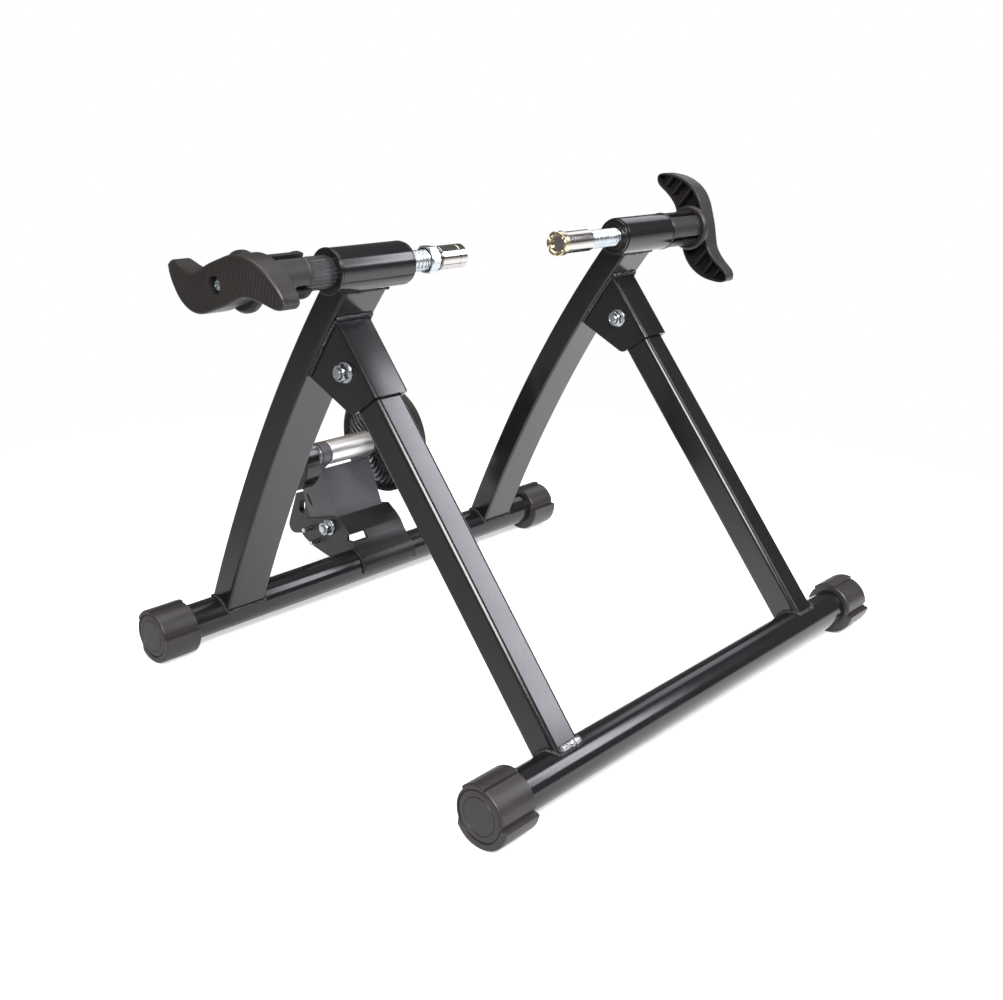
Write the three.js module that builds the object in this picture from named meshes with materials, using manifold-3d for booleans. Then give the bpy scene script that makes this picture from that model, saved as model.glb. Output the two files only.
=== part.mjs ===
// Bicycle turbo trainer that holds the rear wheel on a roller: a folding A-frame of steel tube,
// two screw clamps for the wheel axle and a magnetic brake unit on the rear base tube.
// Frame: X along the base tubes, Y from the front tube to the rear tube, Z up, floor at zero.
import * as THREE from "three";
import { mergeVertices } from "three/addons/utils/BufferGeometryUtils.js";
import Module from "manifold-3d";

const wasm = await Module();
wasm.setup();

// Fits shared by all pieces, in millimetres.
const weldGap = 0.3; // between pieces that are welded or rest on each other
const runningGap = 0.3; // round a shaft, bolt or sliding rod
const overrun = 5; // how far a cutting shape passes the face that it cuts
const roundSides = 24; // facets of a large round
const smallSides = 16; // facets of a small round
const bendSteps = 2; // facets of a rounded corner
const hexSides = 6;

// Base tubes and their end caps.
const tubeRadius = 17;
const tubeWall = 1.5;
const standWidth = 541; // over the end caps
const tubeSpacing = 408.5; // between the axes of the two base tubes
const capRadius = 26; // largest step of a cap, on the floor
const capTopRadius = 24.5; // middle step
const capSideRadius = 22.5; // smallest step
const capLength = 36.5;
const capEndWall = 4;
const capEdgeRadius = 3;
const capRingRadius = 14; // middle of the ring pressed into the end face
const capRingWidth = 1.6;
const capRingDepth = 0.8;
const capFacet = 15; // degrees, so that each cap stands on a flat
const capSteps = [
  [capSideRadius, 6, 80],
  [capTopRadius, 81, 135],
  [capSideRadius, 136, 205],
]; // radius of each upper step, from and to in degrees up from the front
const capStepSides = 5;
const capFlatFrom = 217.5; // where the largest step begins, in the same degrees
const capRearTurn = 15; // degrees, the rear caps sit one facet further round

// Legs.
const legInset = 93.5; // from the end of the stand to the middle of a leg
const legWall = 1.5;
const rearLegWidth = 44;
const rearLegDepth = 25;
const rearLegCorner = 2.5;
const rearLegBendBack = 119.8; // the curve's control point
const rearLegBendShare = 0.6016; // its height, as a share of the way from the tube up to the head
const rearLegSteps = 10;
const frontLegSize = 28;
const frontLegCorner = 2.5;

// Head tubes on top of the rear legs.
const headRadius = 17.5;
const headWall = 2;
const headLength = 72;
const headBack = 12.5;
const headHeight = 372.9;

// Fold pivot, its U bracket, bolt, nut and bush.
const foldDrop = 69.61; // below the head tube's axis, along the rear leg
const foldStand = 43.76; // in front of the rear leg's middle line
const bracketWall = 3;
const bracketPlay = 0.8; // between the leg and the inside of the bracket
const bracketBend = 3.4;
const bracketDrop = 32.6; // web edge below the pivot, along the leg
const earDrop = 31; // lowest corner of an ear below the pivot, along the leg
const earDepth = 16.5; // that corner behind the pivot
const earCorner = 7;
const earFootRise = 20.3; // where the ear meets the rear leg, along the front leg
const earFootDepth = 41.5;
const bracketRise = [-37.4, -16.9, 5.2, 30.6]; // places along the rear leg, up from the pivot's
const foldBoltRadius = 4;
const foldBushRadius = 6.5;
const foldHexWidth = 13;
const foldHexHeight = 6;
const foldFlangeRadius = 8.8;
const foldFlangeHeight = 1.5;
const boltEndStand = 1.5;

// Screw clamps in the head tubes.
const rodRadius = 8.6;
const rodNoseRadius = 5.5;
const rodNoseLength = 8;
const bushFlangeRadius = 16.6;
const bushFlange = 2.7;
const bushBodyLength = 9;
const collarRadius = 12.7;
const collarFluteDepth = 0.7;
const collarFlutes = 24;
const collarLength = 28;
const collarRingRadius = 18;
const collarRing = 2.5;
const sleeveBodyLength = 56;
const cupRadius = 10;
const cupSocketRadius = 7.4;
const cupSocketDepth = 14;
const leftCupReach = 68; // left cup's mouth, inward of the head tube
const leftCupLength = 28;
const rightCupReach = 89; // right cup's mouth, inward of the head tube
const rightCupLength = 45;
const cupRingRadius = 11.3;
const cupRingLength = 8;
const cupNotchWidth = 2.2;
const cupNotchDepth = 1.6;
const cupNotches = 6;
const lockNutWidth = 21;
const lockNutLength = 10;
const lockNutGap = 3.5;
const lockNutTurn = 30; // degrees, so that a corner points up

// Handles: hub ring, slotted sleeve and an S-shaped blade.
const staveLength = 46;
const staveRadius = 17;
const staveInnerRadius = 13.5;
const staveSlot = 5; // width of each slot between two staves
const staves = 4;
const staveTurn = 80; // degrees, from the blade's width round to the first slot
const staveTipRadius = 17.6;
const staveTipLength = 4;
const leftStaveGap = 27.5; // from the head tube out to the left handle's sleeve
const rightStaveGap = 3.3;
const hubRingRadius = 22.3;
const hubRingLength = 8;
const hubRadius = 16;
const bladeReach = 65.5;
const bladeBack = 8; // the blade's flat back, outboard of the hub ring's inner face
const bladeDepth = 21; // at the hub
const bladeBow = 7; // how far the tips fall back
const bladeWall = 2.8;
const bladePocketDepth = 13;
const bladeRib = 2;
const bladeRibShares = [0.42, 0.62, 0.8]; // of the reach
const bladePoints = 48;
const bladeEdgeShares = [
  [1.008, 0.17],
  [0.985, 0.235],
  [0.91, 0.307],
  [0.81, 0.368],
  [0.7, 0.423],
  [0.56, 0.462],
  [0.42, 0.472],
  [0.28, 0.45],
  [0.146, 0.394],
  [-0.03, 0.278],
  [-0.185, 0.168],
  [-0.32, 0.055],
  [-0.44, -0.028],
  [-0.56, -0.064],
  [-0.7, -0.078],
  [-0.81, -0.076],
  [-0.9, -0.078],
  [-0.968, -0.105],
];
const leftHandleTurn = -15; // degrees
const rightHandleTurn = 37;
const handleBoreDepth = 12; // the rod's seat, outboard of the hub ring's inner face
const screwHeadRadius = 4.5;
const screwHeadHeight = 3;
const screwRadius = 2.6;
const screwLength = 18;
const screwRecessRadius = 6.5;
const screwRecessDepth = 5;

// Saddle bracket on the rear tube.
const saddleWall = 3;
const saddlePlay = 0.5; // between an ear and the arm's flange
const saddleTopBack = 23; // top edge, behind the tube's axis
const saddleTopRise = 48;
const saddleWrapFrom = 182; // degrees round the tube, where the plate starts low in front
const saddleWrapTo = 111;
const saddleWrapSteps = 5;
const saddleShares = [
  [-0.055, 0.54],
  [0.165, 0.71],
  [0.5, 0.85],
  [1, 1],
]; // the plate above the tube, in shares of its top
const earShares = [
  [0.146, 0.958],
  [0.7625, 0.729],
  [1.03, 0.604],
  [0.996, 0.271],
  [0.73, 0.104],
  [0.28, 0],
]; // ear outline behind the saddle's top edge, in shares of its reach and of the saddle's rise
const earReach = 60;
const earTipRadius = 6;
const windowDepth = 8; // behind the tube's axis
const windowWidth = 21;
const windowRise = 30; // middle of the window above the tube's axis
const windowHeight = 7.5;
const studRadius = 2.5;
const studLength = 13.3;
const studBack = [68, 56.3]; // behind the tube's axis
const studRise = [24, 12.5]; // above the tube's axis

// Resistance arm.
const armWidth = 65.5;
const armLeft = 26; // the arm's left face, left of the middle
const armWall = 2.5;
const armPivotBack = 36.25; // behind the tube's axis
const armPivotRise = 33.8;
const armBoltRadius = 4;
const armHexWidth = 13;
const armHexHeight = 7.5;
const armFlangeRadius = 8.8;
const armFlangeHeight = 1.5;
const armBoltStand = 1.5;
const rollerBack = 49.8; // roller axis behind the tube's axis
const rollerRise = 111.3;
const rollerRadius = 12.9;
const rollerWall = 3;
const rollerEndPlay = 1.2;
const armTopRadius = 12.7;
const webFootRise = 5.2; // above the pivot
const webFootFront = 9.45; // in front of the pivot
const webTopDrop = 5; // web edge below the roller's surface
const webTopBack = 14.5; // behind the pivot
const flangeBackShares = [
  [0.845, 0.454],
  [0.948, 0.054],
  [0.76, -0.152],
]; // back edge of a flange: back in shares of its depth, up in shares of the roller's rise
const flangeDepth = 48;
const flangeFootRadius = 11;
const leafBack = 36.5; // middle of the leaf-shaped hole in each flange, behind the pivot
const leafRise = 20.7;
const leafLength = 18;
const leafWidth = 4;
const leafLean = 34; // degrees from upright
const leafSteps = 3;
const flangeEarFrom = 235; // degrees round the roller's axis, where the flange's ear starts
const bearingRadius = 11;
const bearingWidth = 8;
const bearingCupWall = 1.7;

// Roller shaft, flywheel and brake.
const shaftRadius = 5;
const flywheelGap = 26.7; // from the arm's left face to the flywheel
const flywheelRadius = 30.4;
const flywheelWidth = 18;
const flywheelDish = 3;
const spacerRadius = 8;
const shaftNutWidth = 17;
const shaftNutLength = 6;
const brakeGap = 13.3; // from the arm's right face to the brake
const brakeRadius = 58.5;
const brakeWidth = 18.2;
const brakeWall = 2;
const brakeRim = 3;
const brakeBossWall = 4;
const rotorRadius = 51;
const rotorThick = 3;
const rotorHubRadius = 10;
const rotorGap = 0.5; // between the magnets and the disc
const carrierRadius = 50;
const carrierThick = 2;
const carrierBore = 22;
const magnets = 6;
const magnetRadius = 8;
const magnetThick = 3;
const magnetCircle = 38;

// Release lever beside the arm's left flange.
const leverThick = 7;
const leverHubRadius = 7.5;
const leverTopBack = 61; // upper corner, from the arm's pivot
const leverTopRise = 23.2;
const leverEndBack = 69;
const leverEndDrop = 18.3;
const leverEndRadius = 8.5;
const leverHubFrom = 250; // degrees round the bolt, where the hub's round starts
const leverHubTo = 125;
const leverEndFrom = 20; // degrees round the tail's middle
const leverEndTo = -110;
const leverSlotLength = 17;
const leverSlotWidth = 9;
const leverSlotBack = 53.5;
const leverSlotRise = 8.2;

// Finishes.
const finish = (name, color, roughness, metalness) =>
  new THREE.MeshStandardMaterial({ name, color, roughness, metalness });
const powderCoat = finish("powder coat", 0x26262a, 0.45, 0.2);
const plasticBlack = finish("moulded plastic", 0x2b2a2a, 0.7, 0);
const rubberBlack = finish("rubber", 0x2c2b2c, 0.8, 0);
const zincPlate = finish("zinc plate", 0xc3ced6, 0.35, 0.9);
const chromePlate = finish("chrome plate", 0xd6d4d0, 0.15, 1);
const brightSteel = finish("bright steel", 0xdadada, 0.2, 1);
const aluminium = finish("aluminium", 0xb4b6b8, 0.4, 0.9);
const magnetNickel = finish("nickel", 0xa8a7a2, 0.3, 1);

// Places worked out from the driving dimensions.
const tubeHeight = capRadius;
const frontBack = -tubeSpacing / 2;
const rearBack = tubeSpacing / 2;
const legX = standWidth / 2 - legInset;
const headInner = legX - headLength / 2;
const headOuter = legX + headLength / 2;
const tubeEnd = standWidth / 2 - capEndWall - weldGap;
const armRight = armWidth - armLeft;
const pivotBack = rearBack + armPivotBack;
const pivotHeight = tubeHeight + armPivotRise;
const rollerY = rearBack + rollerBack;
const rollerZ = tubeHeight + rollerRise;
const mergeStep = 1e-5;
const half = 0.5;
const degree = Math.PI / 180;

// Turns a closed geometry into a solid for cutting and joining.
function solidOf(geometry) {
  const plain = geometry.clone();
  plain.deleteAttribute("normal");
  plain.deleteAttribute("uv");
  const merged = mergeVertices(plain, mergeStep);
  const corners = [];
  const index = merged.index.array;
  for (let i = 0; i < index.length; i += 3) {
    const [a, b, c] = [index[i], index[i + 1], index[i + 2]];
    if (a !== b && b !== c && c !== a) corners.push(a, b, c);
  }
  return new wasm.Manifold(
    new wasm.Mesh({
      numProp: 3,
      vertProperties: merged.attributes.position.array,
      triVerts: new Uint32Array(corners),
    }),
  );
}

// Turns a solid back into a geometry.
function geometryOf(solid) {
  const mesh = solid.getMesh();
  const geometry = new THREE.BufferGeometry();
  geometry.setAttribute("position", new THREE.BufferAttribute(mesh.vertProperties, 3));
  geometry.setIndex(new THREE.BufferAttribute(mesh.triVerts, 1));
  geometry.computeVertexNormals();
  return geometry;
}

// A body turned about the X axis from [x, radius] points, then moved to back, height.
function turned(points, back = 0, height = 0, sides = smallSides) {
  const profile = points.map(([x, radius]) => new THREE.Vector2(radius, x));
  const geometry = new THREE.LatheGeometry(profile, sides);
  geometry.rotateZ(-Math.PI / 2);
  geometry.translate(0, back, height);
  return solidOf(geometry);
}

// A round bar along X.
function bar(from, to, radius, back = 0, height = 0, sides = smallSides) {
  return turned([[from, 0], [from, radius], [to, radius], [to, 0]], back, height, sides);
}

// A round tube along X.
function pipe(from, to, outer, inner, back = 0, height = 0, sides = smallSides) {
  const ring = [[from, inner], [from, outer], [to, outer], [to, inner], [from, inner]];
  return turned(ring, back, height, sides);
}

// A flat plate from a side outline of [back, height] points, spread along X.
function plate(points, from, to) {
  const shape = new THREE.Shape(points.map(([back, height]) => new THREE.Vector2(back, height)));
  const geometry = new THREE.ExtrudeGeometry(shape, { depth: to - from, bevelEnabled: false });
  const alongX = new THREE.Matrix4().makeBasis(
    new THREE.Vector3(0, 1, 0),
    new THREE.Vector3(0, 0, 1),
    new THREE.Vector3(1, 0, 0),
  );
  geometry.applyMatrix4(alongX);
  geometry.translate(from, 0, 0);
  return solidOf(geometry);
}

// Points of an arc in a plane, from one angle to another in degrees.
function arc(centreU, centreV, radius, from, to, steps) {
  const points = [];
  for (let i = 0; i <= steps; i++) {
    const angle = (from + ((to - from) * i) / steps) * degree;
    points.push([centreU + radius * Math.cos(angle), centreV + radius * Math.sin(angle)]);
  }
  return points;
}

// Rounds the corner between two straight edges of an outline.
function softCorner(before, corner, after, radius) {
  const place = new THREE.Vector2(...corner);
  const back = new THREE.Vector2(...before).sub(place).normalize();
  const ahead = new THREE.Vector2(...after).sub(place).normalize();
  const opening = Math.acos(back.dot(ahead)) / 2;
  const middle = back.clone().add(ahead).normalize();
  const centre = place.clone().addScaledVector(middle, radius / Math.sin(opening));
  const first = place.clone().addScaledVector(back, radius / Math.tan(opening)).sub(centre);
  const last = place.clone().addScaledVector(ahead, radius / Math.tan(opening)).sub(centre);
  const turn = Math.atan2(first.cross(last), first.dot(last));
  const points = [];
  for (let i = 0; i <= bendSteps; i++) {
    const spoke = first.clone().rotateAround(new THREE.Vector2(), (turn * i) / bendSteps);
    points.push([centre.x + spoke.x, centre.y + spoke.y]);
  }
  return points;
}

// A rectangle with rounded corners, as section points.
function roundedBox(width, depth, corner) {
  const u = width / 2 - corner;
  const v = depth / 2 - corner;
  return [
    ...arc(u, v, corner, 0, 90, bendSteps),
    ...arc(-u, v, corner, 90, 180, bendSteps),
    ...arc(-u, -v, corner, 180, 270, bendSteps),
    ...arc(u, -v, corner, 270, 360, bendSteps),
  ];
}

// A hexagon bar along X with a given width across flats, turned by some degrees.
function hexBar(from, to, width, back, height, turn = 0) {
  const radius = width / Math.sqrt(3);
  const step = 360 / hexSides;
  return plate(arc(back, height, radius, turn, turn + 360 - step, hexSides - 1), from, to);
}

// A section of [x, normal] points carried along a path in the YZ plane.
function sweep(section, path, middleX) {
  const positions = [];
  for (const station of path) {
    for (const [x, normal] of section) {
      positions.push(
        middleX + x,
        station.back + station.normalBack * normal,
        station.height + station.normalHeight * normal,
      );
    }
  }
  const count = section.length;
  const index = [];
  for (let ring = 0; ring < path.length - 1; ring++) {
    for (let i = 0; i < count; i++) {
      const a = ring * count + i;
      const b = ring * count + ((i + 1) % count);
      index.push(a, b + count, b, a, a + count, b + count);
    }
  }
  const outline = section.map(([x, normal]) => new THREE.Vector2(x, normal));
  const last = (path.length - 1) * count;
  for (const [a, b, c] of THREE.ShapeUtils.triangulateShape(outline, [])) {
    index.push(a, b, c, last + a, last + c, last + b);
  }
  const geometry = new THREE.BufferGeometry();
  geometry.setAttribute("position", new THREE.Float32BufferAttribute(positions, 3));
  geometry.setIndex(index);
  return solidOf(geometry);
}

// The rear leg's centreline, from the tube's axis to the head's axis. The normal points forward.
const rearLegCurve = new THREE.QuadraticBezierCurve(
  new THREE.Vector2(rearBack, tubeHeight),
  new THREE.Vector2(rearLegBendBack, tubeHeight + rearLegBendShare * (headHeight - tubeHeight)),
  new THREE.Vector2(headBack, headHeight),
);

function rearLegStation(share) {
  const point = rearLegCurve.getPoint(share);
  const along = rearLegCurve.getTangent(share);
  return { back: point.x, height: point.y, normalBack: -along.y, normalHeight: along.x };
}

function rearLegPath() {
  const path = [];
  for (let i = 0; i <= rearLegSteps; i++) path.push(rearLegStation(i / rearLegSteps));
  return path;
}

// The fold pivot stands in front of the rear leg, a set way down from the head tube.
const rearLegLength = rearLegCurve.getLength();

function alongRearLeg(length) {
  return rearLegCurve.getPointAt(length / rearLegLength);
}

const foldAlong = rearLegLength - foldDrop;
const foldTangent = rearLegCurve.getTangentAt(foldAlong / rearLegLength);
const foldBack = alongRearLeg(foldAlong).x - foldTangent.y * foldStand;
const foldHeight = alongRearLeg(foldAlong).y + foldTangent.x * foldStand;

// The front leg's axis runs from the front tube to the fold pivot. The normal points forward.
const frontLegRun = new THREE.Vector2(foldBack - frontBack, foldHeight - tubeHeight);
const frontLegLength = frontLegRun.length();
const legUp = frontLegRun.clone().normalize();

// A place given along the front leg from the fold pivot and forward of its axis.
function atLeg(along, forward) {
  return [
    foldBack + legUp.x * along - legUp.y * forward,
    foldHeight + legUp.y * along + legUp.x * forward,
  ];
}

function legStation(along) {
  const [back, height] = atLeg(along, 0);
  return { back, height, normalBack: -legUp.y, normalHeight: legUp.x };
}

const group = new THREE.Group();

function add(name, solid, material) {
  const mesh = new THREE.Mesh(geometryOf(solid), material);
  mesh.name = name;
  group.add(mesh);
}

const sides = [
  { side: "left", x: -legX, out: -1 },
  { side: "right", x: legX, out: 1 },
];

// Reflects or keeps an X range, so that the low end comes first.
const ordered = (a, b) => (a < b ? [a, b] : [b, a]);

function outward(out, from, to) {
  return ordered(out * from, out * to);
}

function rearBaseTube() {
  return pipe(-tubeEnd, tubeEnd, tubeRadius, tubeRadius - tubeWall, rearBack, tubeHeight, roundSides);
}

function frontBaseTube() {
  return pipe(-tubeEnd, tubeEnd, tubeRadius, tubeRadius - tubeWall, frontBack, tubeHeight, roundSides);
}

// A cap's rim steps between three radii, with flats one facet wide on the largest step.
function capRim() {
  const corner = capRadius / Math.cos(capFacet * half * degree);
  const points = capSteps.flatMap(([radius, from, to]) => arc(0, 0, radius, from, to, capStepSides));
  for (let angle = capFlatFrom; angle < 360; angle += capFacet) {
    points.push([corner * Math.cos(angle * degree), corner * Math.sin(angle * degree)]);
  }
  // Angles are measured from the front, so the outline is mirrored into back, height.
  return points.map(([forward, height]) => [-forward, height]);
}

function endCap(out, back, turn) {
  const mouth = standWidth / 2 - capLength;
  const face = standWidth / 2;
  const [low, high] = outward(out, mouth, face);
  const body = plate(capRim(), low, high);
  const wide = capRadius / Math.cos(capFacet * half * degree) + weldGap;
  const edge = [
    [mouth, 0],
    [mouth, wide],
    ...arc(face - capEdgeRadius, wide - capEdgeRadius, capEdgeRadius, 90, 0, bendSteps),
    [face, 0],
  ];
  const rounded = out > 0 ? edge : edge.map(([x, radius]) => [-x, radius]).reverse();
  const [boreLow, boreHigh] = outward(out, mouth - overrun, face - capEndWall);
  const [ringLow, ringHigh] = outward(out, face - capRingDepth, face + overrun);
  return body
    .intersect(turned(rounded, 0, 0, roundSides))
    .subtract(bar(boreLow, boreHigh, tubeRadius + runningGap, 0, 0, roundSides))
    .subtract(pipe(ringLow, ringHigh, capRingRadius + capRingWidth / 2, capRingRadius - capRingWidth / 2))
    .rotate([turn, 0, 0])
    .translate([0, back, tubeHeight]);
}

function rearLeg(x) {
  const path = rearLegPath();
  const outer = sweep(roundedBox(rearLegWidth, rearLegDepth, rearLegCorner), path, x);
  const inner = sweep(
    roundedBox(rearLegWidth - 2 * legWall, rearLegDepth - 2 * legWall, rearLegCorner - legWall * half),
    path,
    x,
  );
  const [low, high] = [x - rearLegWidth, x + rearLegWidth];
  return outer
    .subtract(inner)
    .subtract(bar(low, high, tubeRadius + weldGap, rearBack, tubeHeight, roundSides))
    .subtract(bar(low, high, headRadius + weldGap, headBack, headHeight, roundSides));
}

// The leg's foot is coped over the front tube. Its top is rounded about the fold pivot.
function frontLeg(x) {
  const size = frontLegSize;
  const path = [legStation(-frontLegLength), legStation(0)];
  const outer = sweep(roundedBox(size, size, frontLegCorner), path, x);
  const inner = sweep(
    roundedBox(size - 2 * legWall, size - 2 * legWall, frontLegCorner - legWall * half),
    [legStation(-frontLegLength), legStation(overrun)],
    x,
  );
  const [low, high] = [x - size / 2, x + size / 2];
  const crown = bar(low, high, size / 2, foldBack, foldHeight, roundSides);
  const hollow = bar(low + legWall, high - legWall, size / 2 - legWall, foldBack, foldHeight, roundSides);
  return outer
    .add(crown)
    .subtract(inner)
    .subtract(hollow)
    .subtract(bar(low - overrun, high + overrun, foldBoltRadius + runningGap, foldBack, foldHeight))
    .subtract(bar(low - overrun, high + overrun, tubeRadius + weldGap, frontBack, tubeHeight, roundSides));
}

function headTube(x) {
  const [low, high] = [x - headLength / 2, x + headLength / 2];
  return pipe(low, high, headRadius, headRadius - headWall, headBack, headHeight, roundSides);
}

// Bracket sizes that follow the front leg.
const bracketInner = frontLegSize / 2 + bracketPlay;
const bracketOuter = bracketInner + bracketWall;

// U channel whose web covers the front leg's face and whose ears end on the rear leg.
function foldBracket(x) {
  const back = bracketRise.map((rise) => alongRearLeg(foldAlong + rise));
  const edge = atLeg(-bracketDrop, bracketOuter);
  const foot = atLeg(earFootRise, -earFootDepth);
  const outline = [
    edge,
    ...softCorner(edge, atLeg(-earDrop, -earDepth), foot, earCorner),
    foot,
    ...back.map((point) => [point.x, point.y]),
  ];
  const deep = bracketOuter + earFootDepth + overrun;
  const bend = (outer, radius) => [
    [outer, -deep],
    ...arc(outer - radius, outer - radius, radius, 0, 90, bendSteps),
    ...arc(radius - outer, outer - radius, radius, 90, 180, bendSteps),
    [-outer, -deep],
  ];
  const run = [legStation(-earFootDepth - overrun), legStation(foldHeight)];
  const channel = sweep(bend(bracketOuter, bracketBend), run, x).subtract(
    sweep(bend(bracketInner, bracketBend - bracketWall), run, x),
  );
  const wide = rearLegWidth;
  const legBand = sweep(
    roundedBox(2 * wide, rearLegDepth + 2 * weldGap, rearLegCorner),
    rearLegPath(),
    x,
  );
  return plate(outline, x - bracketOuter - overrun, x + bracketOuter + overrun)
    .intersect(channel)
    .subtract(legBand)
    .subtract(bar(x - wide, x + wide, foldBoltRadius + runningGap, foldBack, foldHeight));
}

// Bolt with its head on the right, nut on the left, where the photograph's side sees it.
function foldBolt(x) {
  const seat = x + bracketOuter + weldGap;
  const end = x - bracketOuter - weldGap - foldFlangeHeight - foldHexHeight - boltEndStand;
  return bar(end, seat, foldBoltRadius, foldBack, foldHeight)
    .add(bar(seat, seat + foldFlangeHeight, foldFlangeRadius, foldBack, foldHeight))
    .add(hexBar(seat, seat + foldFlangeHeight + foldHexHeight, foldHexWidth, foldBack, foldHeight));
}

function flangeNut(seat, flange, flangeRadius, hexHeight, hexWidth, boltRadius, back, height) {
  const end = seat - flange - hexHeight;
  return bar(seat - flange, seat, flangeRadius, back, height)
    .add(hexBar(end, seat, hexWidth, back, height))
    .subtract(bar(end - overrun, seat + overrun, boltRadius + runningGap, back, height));
}

function foldNut(x) {
  const seat = x - bracketOuter - weldGap;
  return flangeNut(
    seat, foldFlangeHeight, foldFlangeRadius, foldHexHeight, foldHexWidth,
    foldBoltRadius, foldBack, foldHeight,
  );
}

function foldBush(x) {
  const reach = frontLegSize / 2 - legWall - weldGap;
  const bore = foldBoltRadius + runningGap;
  return pipe(x - reach, x + reach, foldBushRadius, bore, foldBack, foldHeight);
}

// Bush that lines the head tube's inner end.
function innerBush(out) {
  const bore = rodRadius + runningGap;
  const fit = headRadius - headWall - weldGap;
  const seat = headInner - weldGap;
  const [faceLow, faceHigh] = outward(out, seat - bushFlange, seat);
  const [bodyLow, bodyHigh] = outward(out, seat, headInner + bushBodyLength);
  return pipe(faceLow, faceHigh, bushFlangeRadius, bore, headBack, headHeight, roundSides)
    .add(pipe(bodyLow, bodyHigh, fit, bore, headBack, headHeight, roundSides));
}

// Threaded sleeve in the head tube, with a ring against its end and a fluted collar outside.
function threadedSleeve(out) {
  const bore = rodRadius + runningGap;
  const fit = headRadius - headWall - weldGap;
  const seat = headOuter + weldGap;
  const [bodyLow, bodyHigh] = outward(out, headOuter - sleeveBodyLength, seat);
  const [ringLow, ringHigh] = outward(out, seat, seat + collarRing);
  const [collarLow, collarHigh] = outward(out, seat, seat + collarRing + collarLength);
  const flutes = [];
  for (let i = 0; i < 2 * collarFlutes; i++) {
    const angle = (Math.PI * (i + half)) / collarFlutes;
    const radius = i % 2 ? collarRadius - collarFluteDepth : collarRadius;
    flutes.push([headBack + radius * Math.cos(angle), headHeight + radius * Math.sin(angle)]);
  }
  return plate(flutes, collarLow, collarHigh)
    .add(bar(bodyLow, bodyHigh, fit, headBack, headHeight, roundSides))
    .add(bar(ringLow, ringHigh, collarRingRadius, headBack, headHeight, roundSides))
    .subtract(bar(-standWidth, standWidth, bore, headBack, headHeight));
}

// Where each handle's hub ring starts, and where each cup's back face lies, from the middle.
const ringStart = {
  left: headOuter + leftStaveGap + staveLength,
  right: headOuter + rightStaveGap + staveLength,
};
const cupFace = { left: headInner - leftCupReach, right: headInner - rightCupReach };
const cupBack = { left: cupFace.left + leftCupLength, right: cupFace.right + rightCupLength };

function screwRod(side, out) {
  const tip = cupBack[side] + weldGap;
  const end = ringStart[side] + handleBoreDepth;
  const [noseLow, noseHigh] = outward(out, tip - rodNoseLength, tip);
  const [low, high] = outward(out, tip, end);
  const screwDepth = screwLength + runningGap;
  const [holeLow, holeHigh] = outward(out, end - screwDepth, end + overrun);
  return bar(low, high, rodRadius, headBack, headHeight)
    .add(bar(noseLow, noseHigh, rodNoseRadius, headBack, headHeight))
    .subtract(bar(holeLow, holeHigh, screwRadius + runningGap, headBack, headHeight));
}

// Cup that grips the end of the wheel's axle. It turns freely on the rod's nose.
function axleCup(side, out) {
  const face = cupFace[side];
  const back = cupBack[side];
  const [low, high] = outward(out, face, back);
  const [socketLow, socketHigh] = outward(out, face - overrun, face + cupSocketDepth);
  const [seatLow, seatHigh] = outward(out, back - rodNoseLength - weldGap, back + overrun);
  let cup = bar(low, high, cupRadius, headBack, headHeight);
  if (side === "right") {
    const [ringLow, ringHigh] = outward(out, face, face + cupRingLength);
    cup = cup.add(bar(ringLow, ringHigh, cupRingRadius, headBack, headHeight));
  }
  cup = cup
    .subtract(bar(socketLow, socketHigh, cupSocketRadius, headBack, headHeight))
    .subtract(bar(seatLow, seatHigh, rodNoseRadius + runningGap, headBack, headHeight));
  if (side === "right") {
    for (let i = 0; i < cupNotches; i++) {
      const notch = plate(
        [
          [-cupNotchWidth / 2, cupSocketRadius - weldGap],
          [cupNotchWidth / 2, cupSocketRadius - weldGap],
          [cupNotchWidth / 2, cupRingRadius + overrun],
          [-cupNotchWidth / 2, cupRingRadius + overrun],
        ],
        ...outward(out, face - overrun, face + cupNotchDepth),
      );
      const turn = (360 * (i + half)) / cupNotches;
      cup = cup.subtract(notch.rotate([turn, 0, 0]).translate([0, headBack, headHeight]));
    }
  }
  return cup;
}

function lockNut() {
  const high = -cupBack.left - lockNutGap;
  const low = high - lockNutLength;
  return hexBar(low, high, lockNutWidth, headBack, headHeight, lockNutTurn).subtract(
    bar(low - overrun, high + overrun, rodRadius + runningGap, headBack, headHeight),
  );
}

// The blade's closed outline, the same after half a turn, as smooth [p, q] points.
function bladeOutline(inset) {
  const edge = bladeEdgeShares.map(([p, q]) => new THREE.Vector3(p * bladeReach, q * bladeReach, 0));
  const other = edge.map((point) => point.clone().multiplyScalar(-1));
  const curve = new THREE.CatmullRomCurve3([...edge, ...other], true, "centripetal");
  const points = [];
  for (let i = 0; i < bladePoints; i++) {
    const point = curve.getPointAt(i / bladePoints);
    const along = curve.getTangentAt(i / bladePoints);
    points.push([point.x - along.y * inset, point.y + along.x * inset]);
  }
  return points;
}

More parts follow.
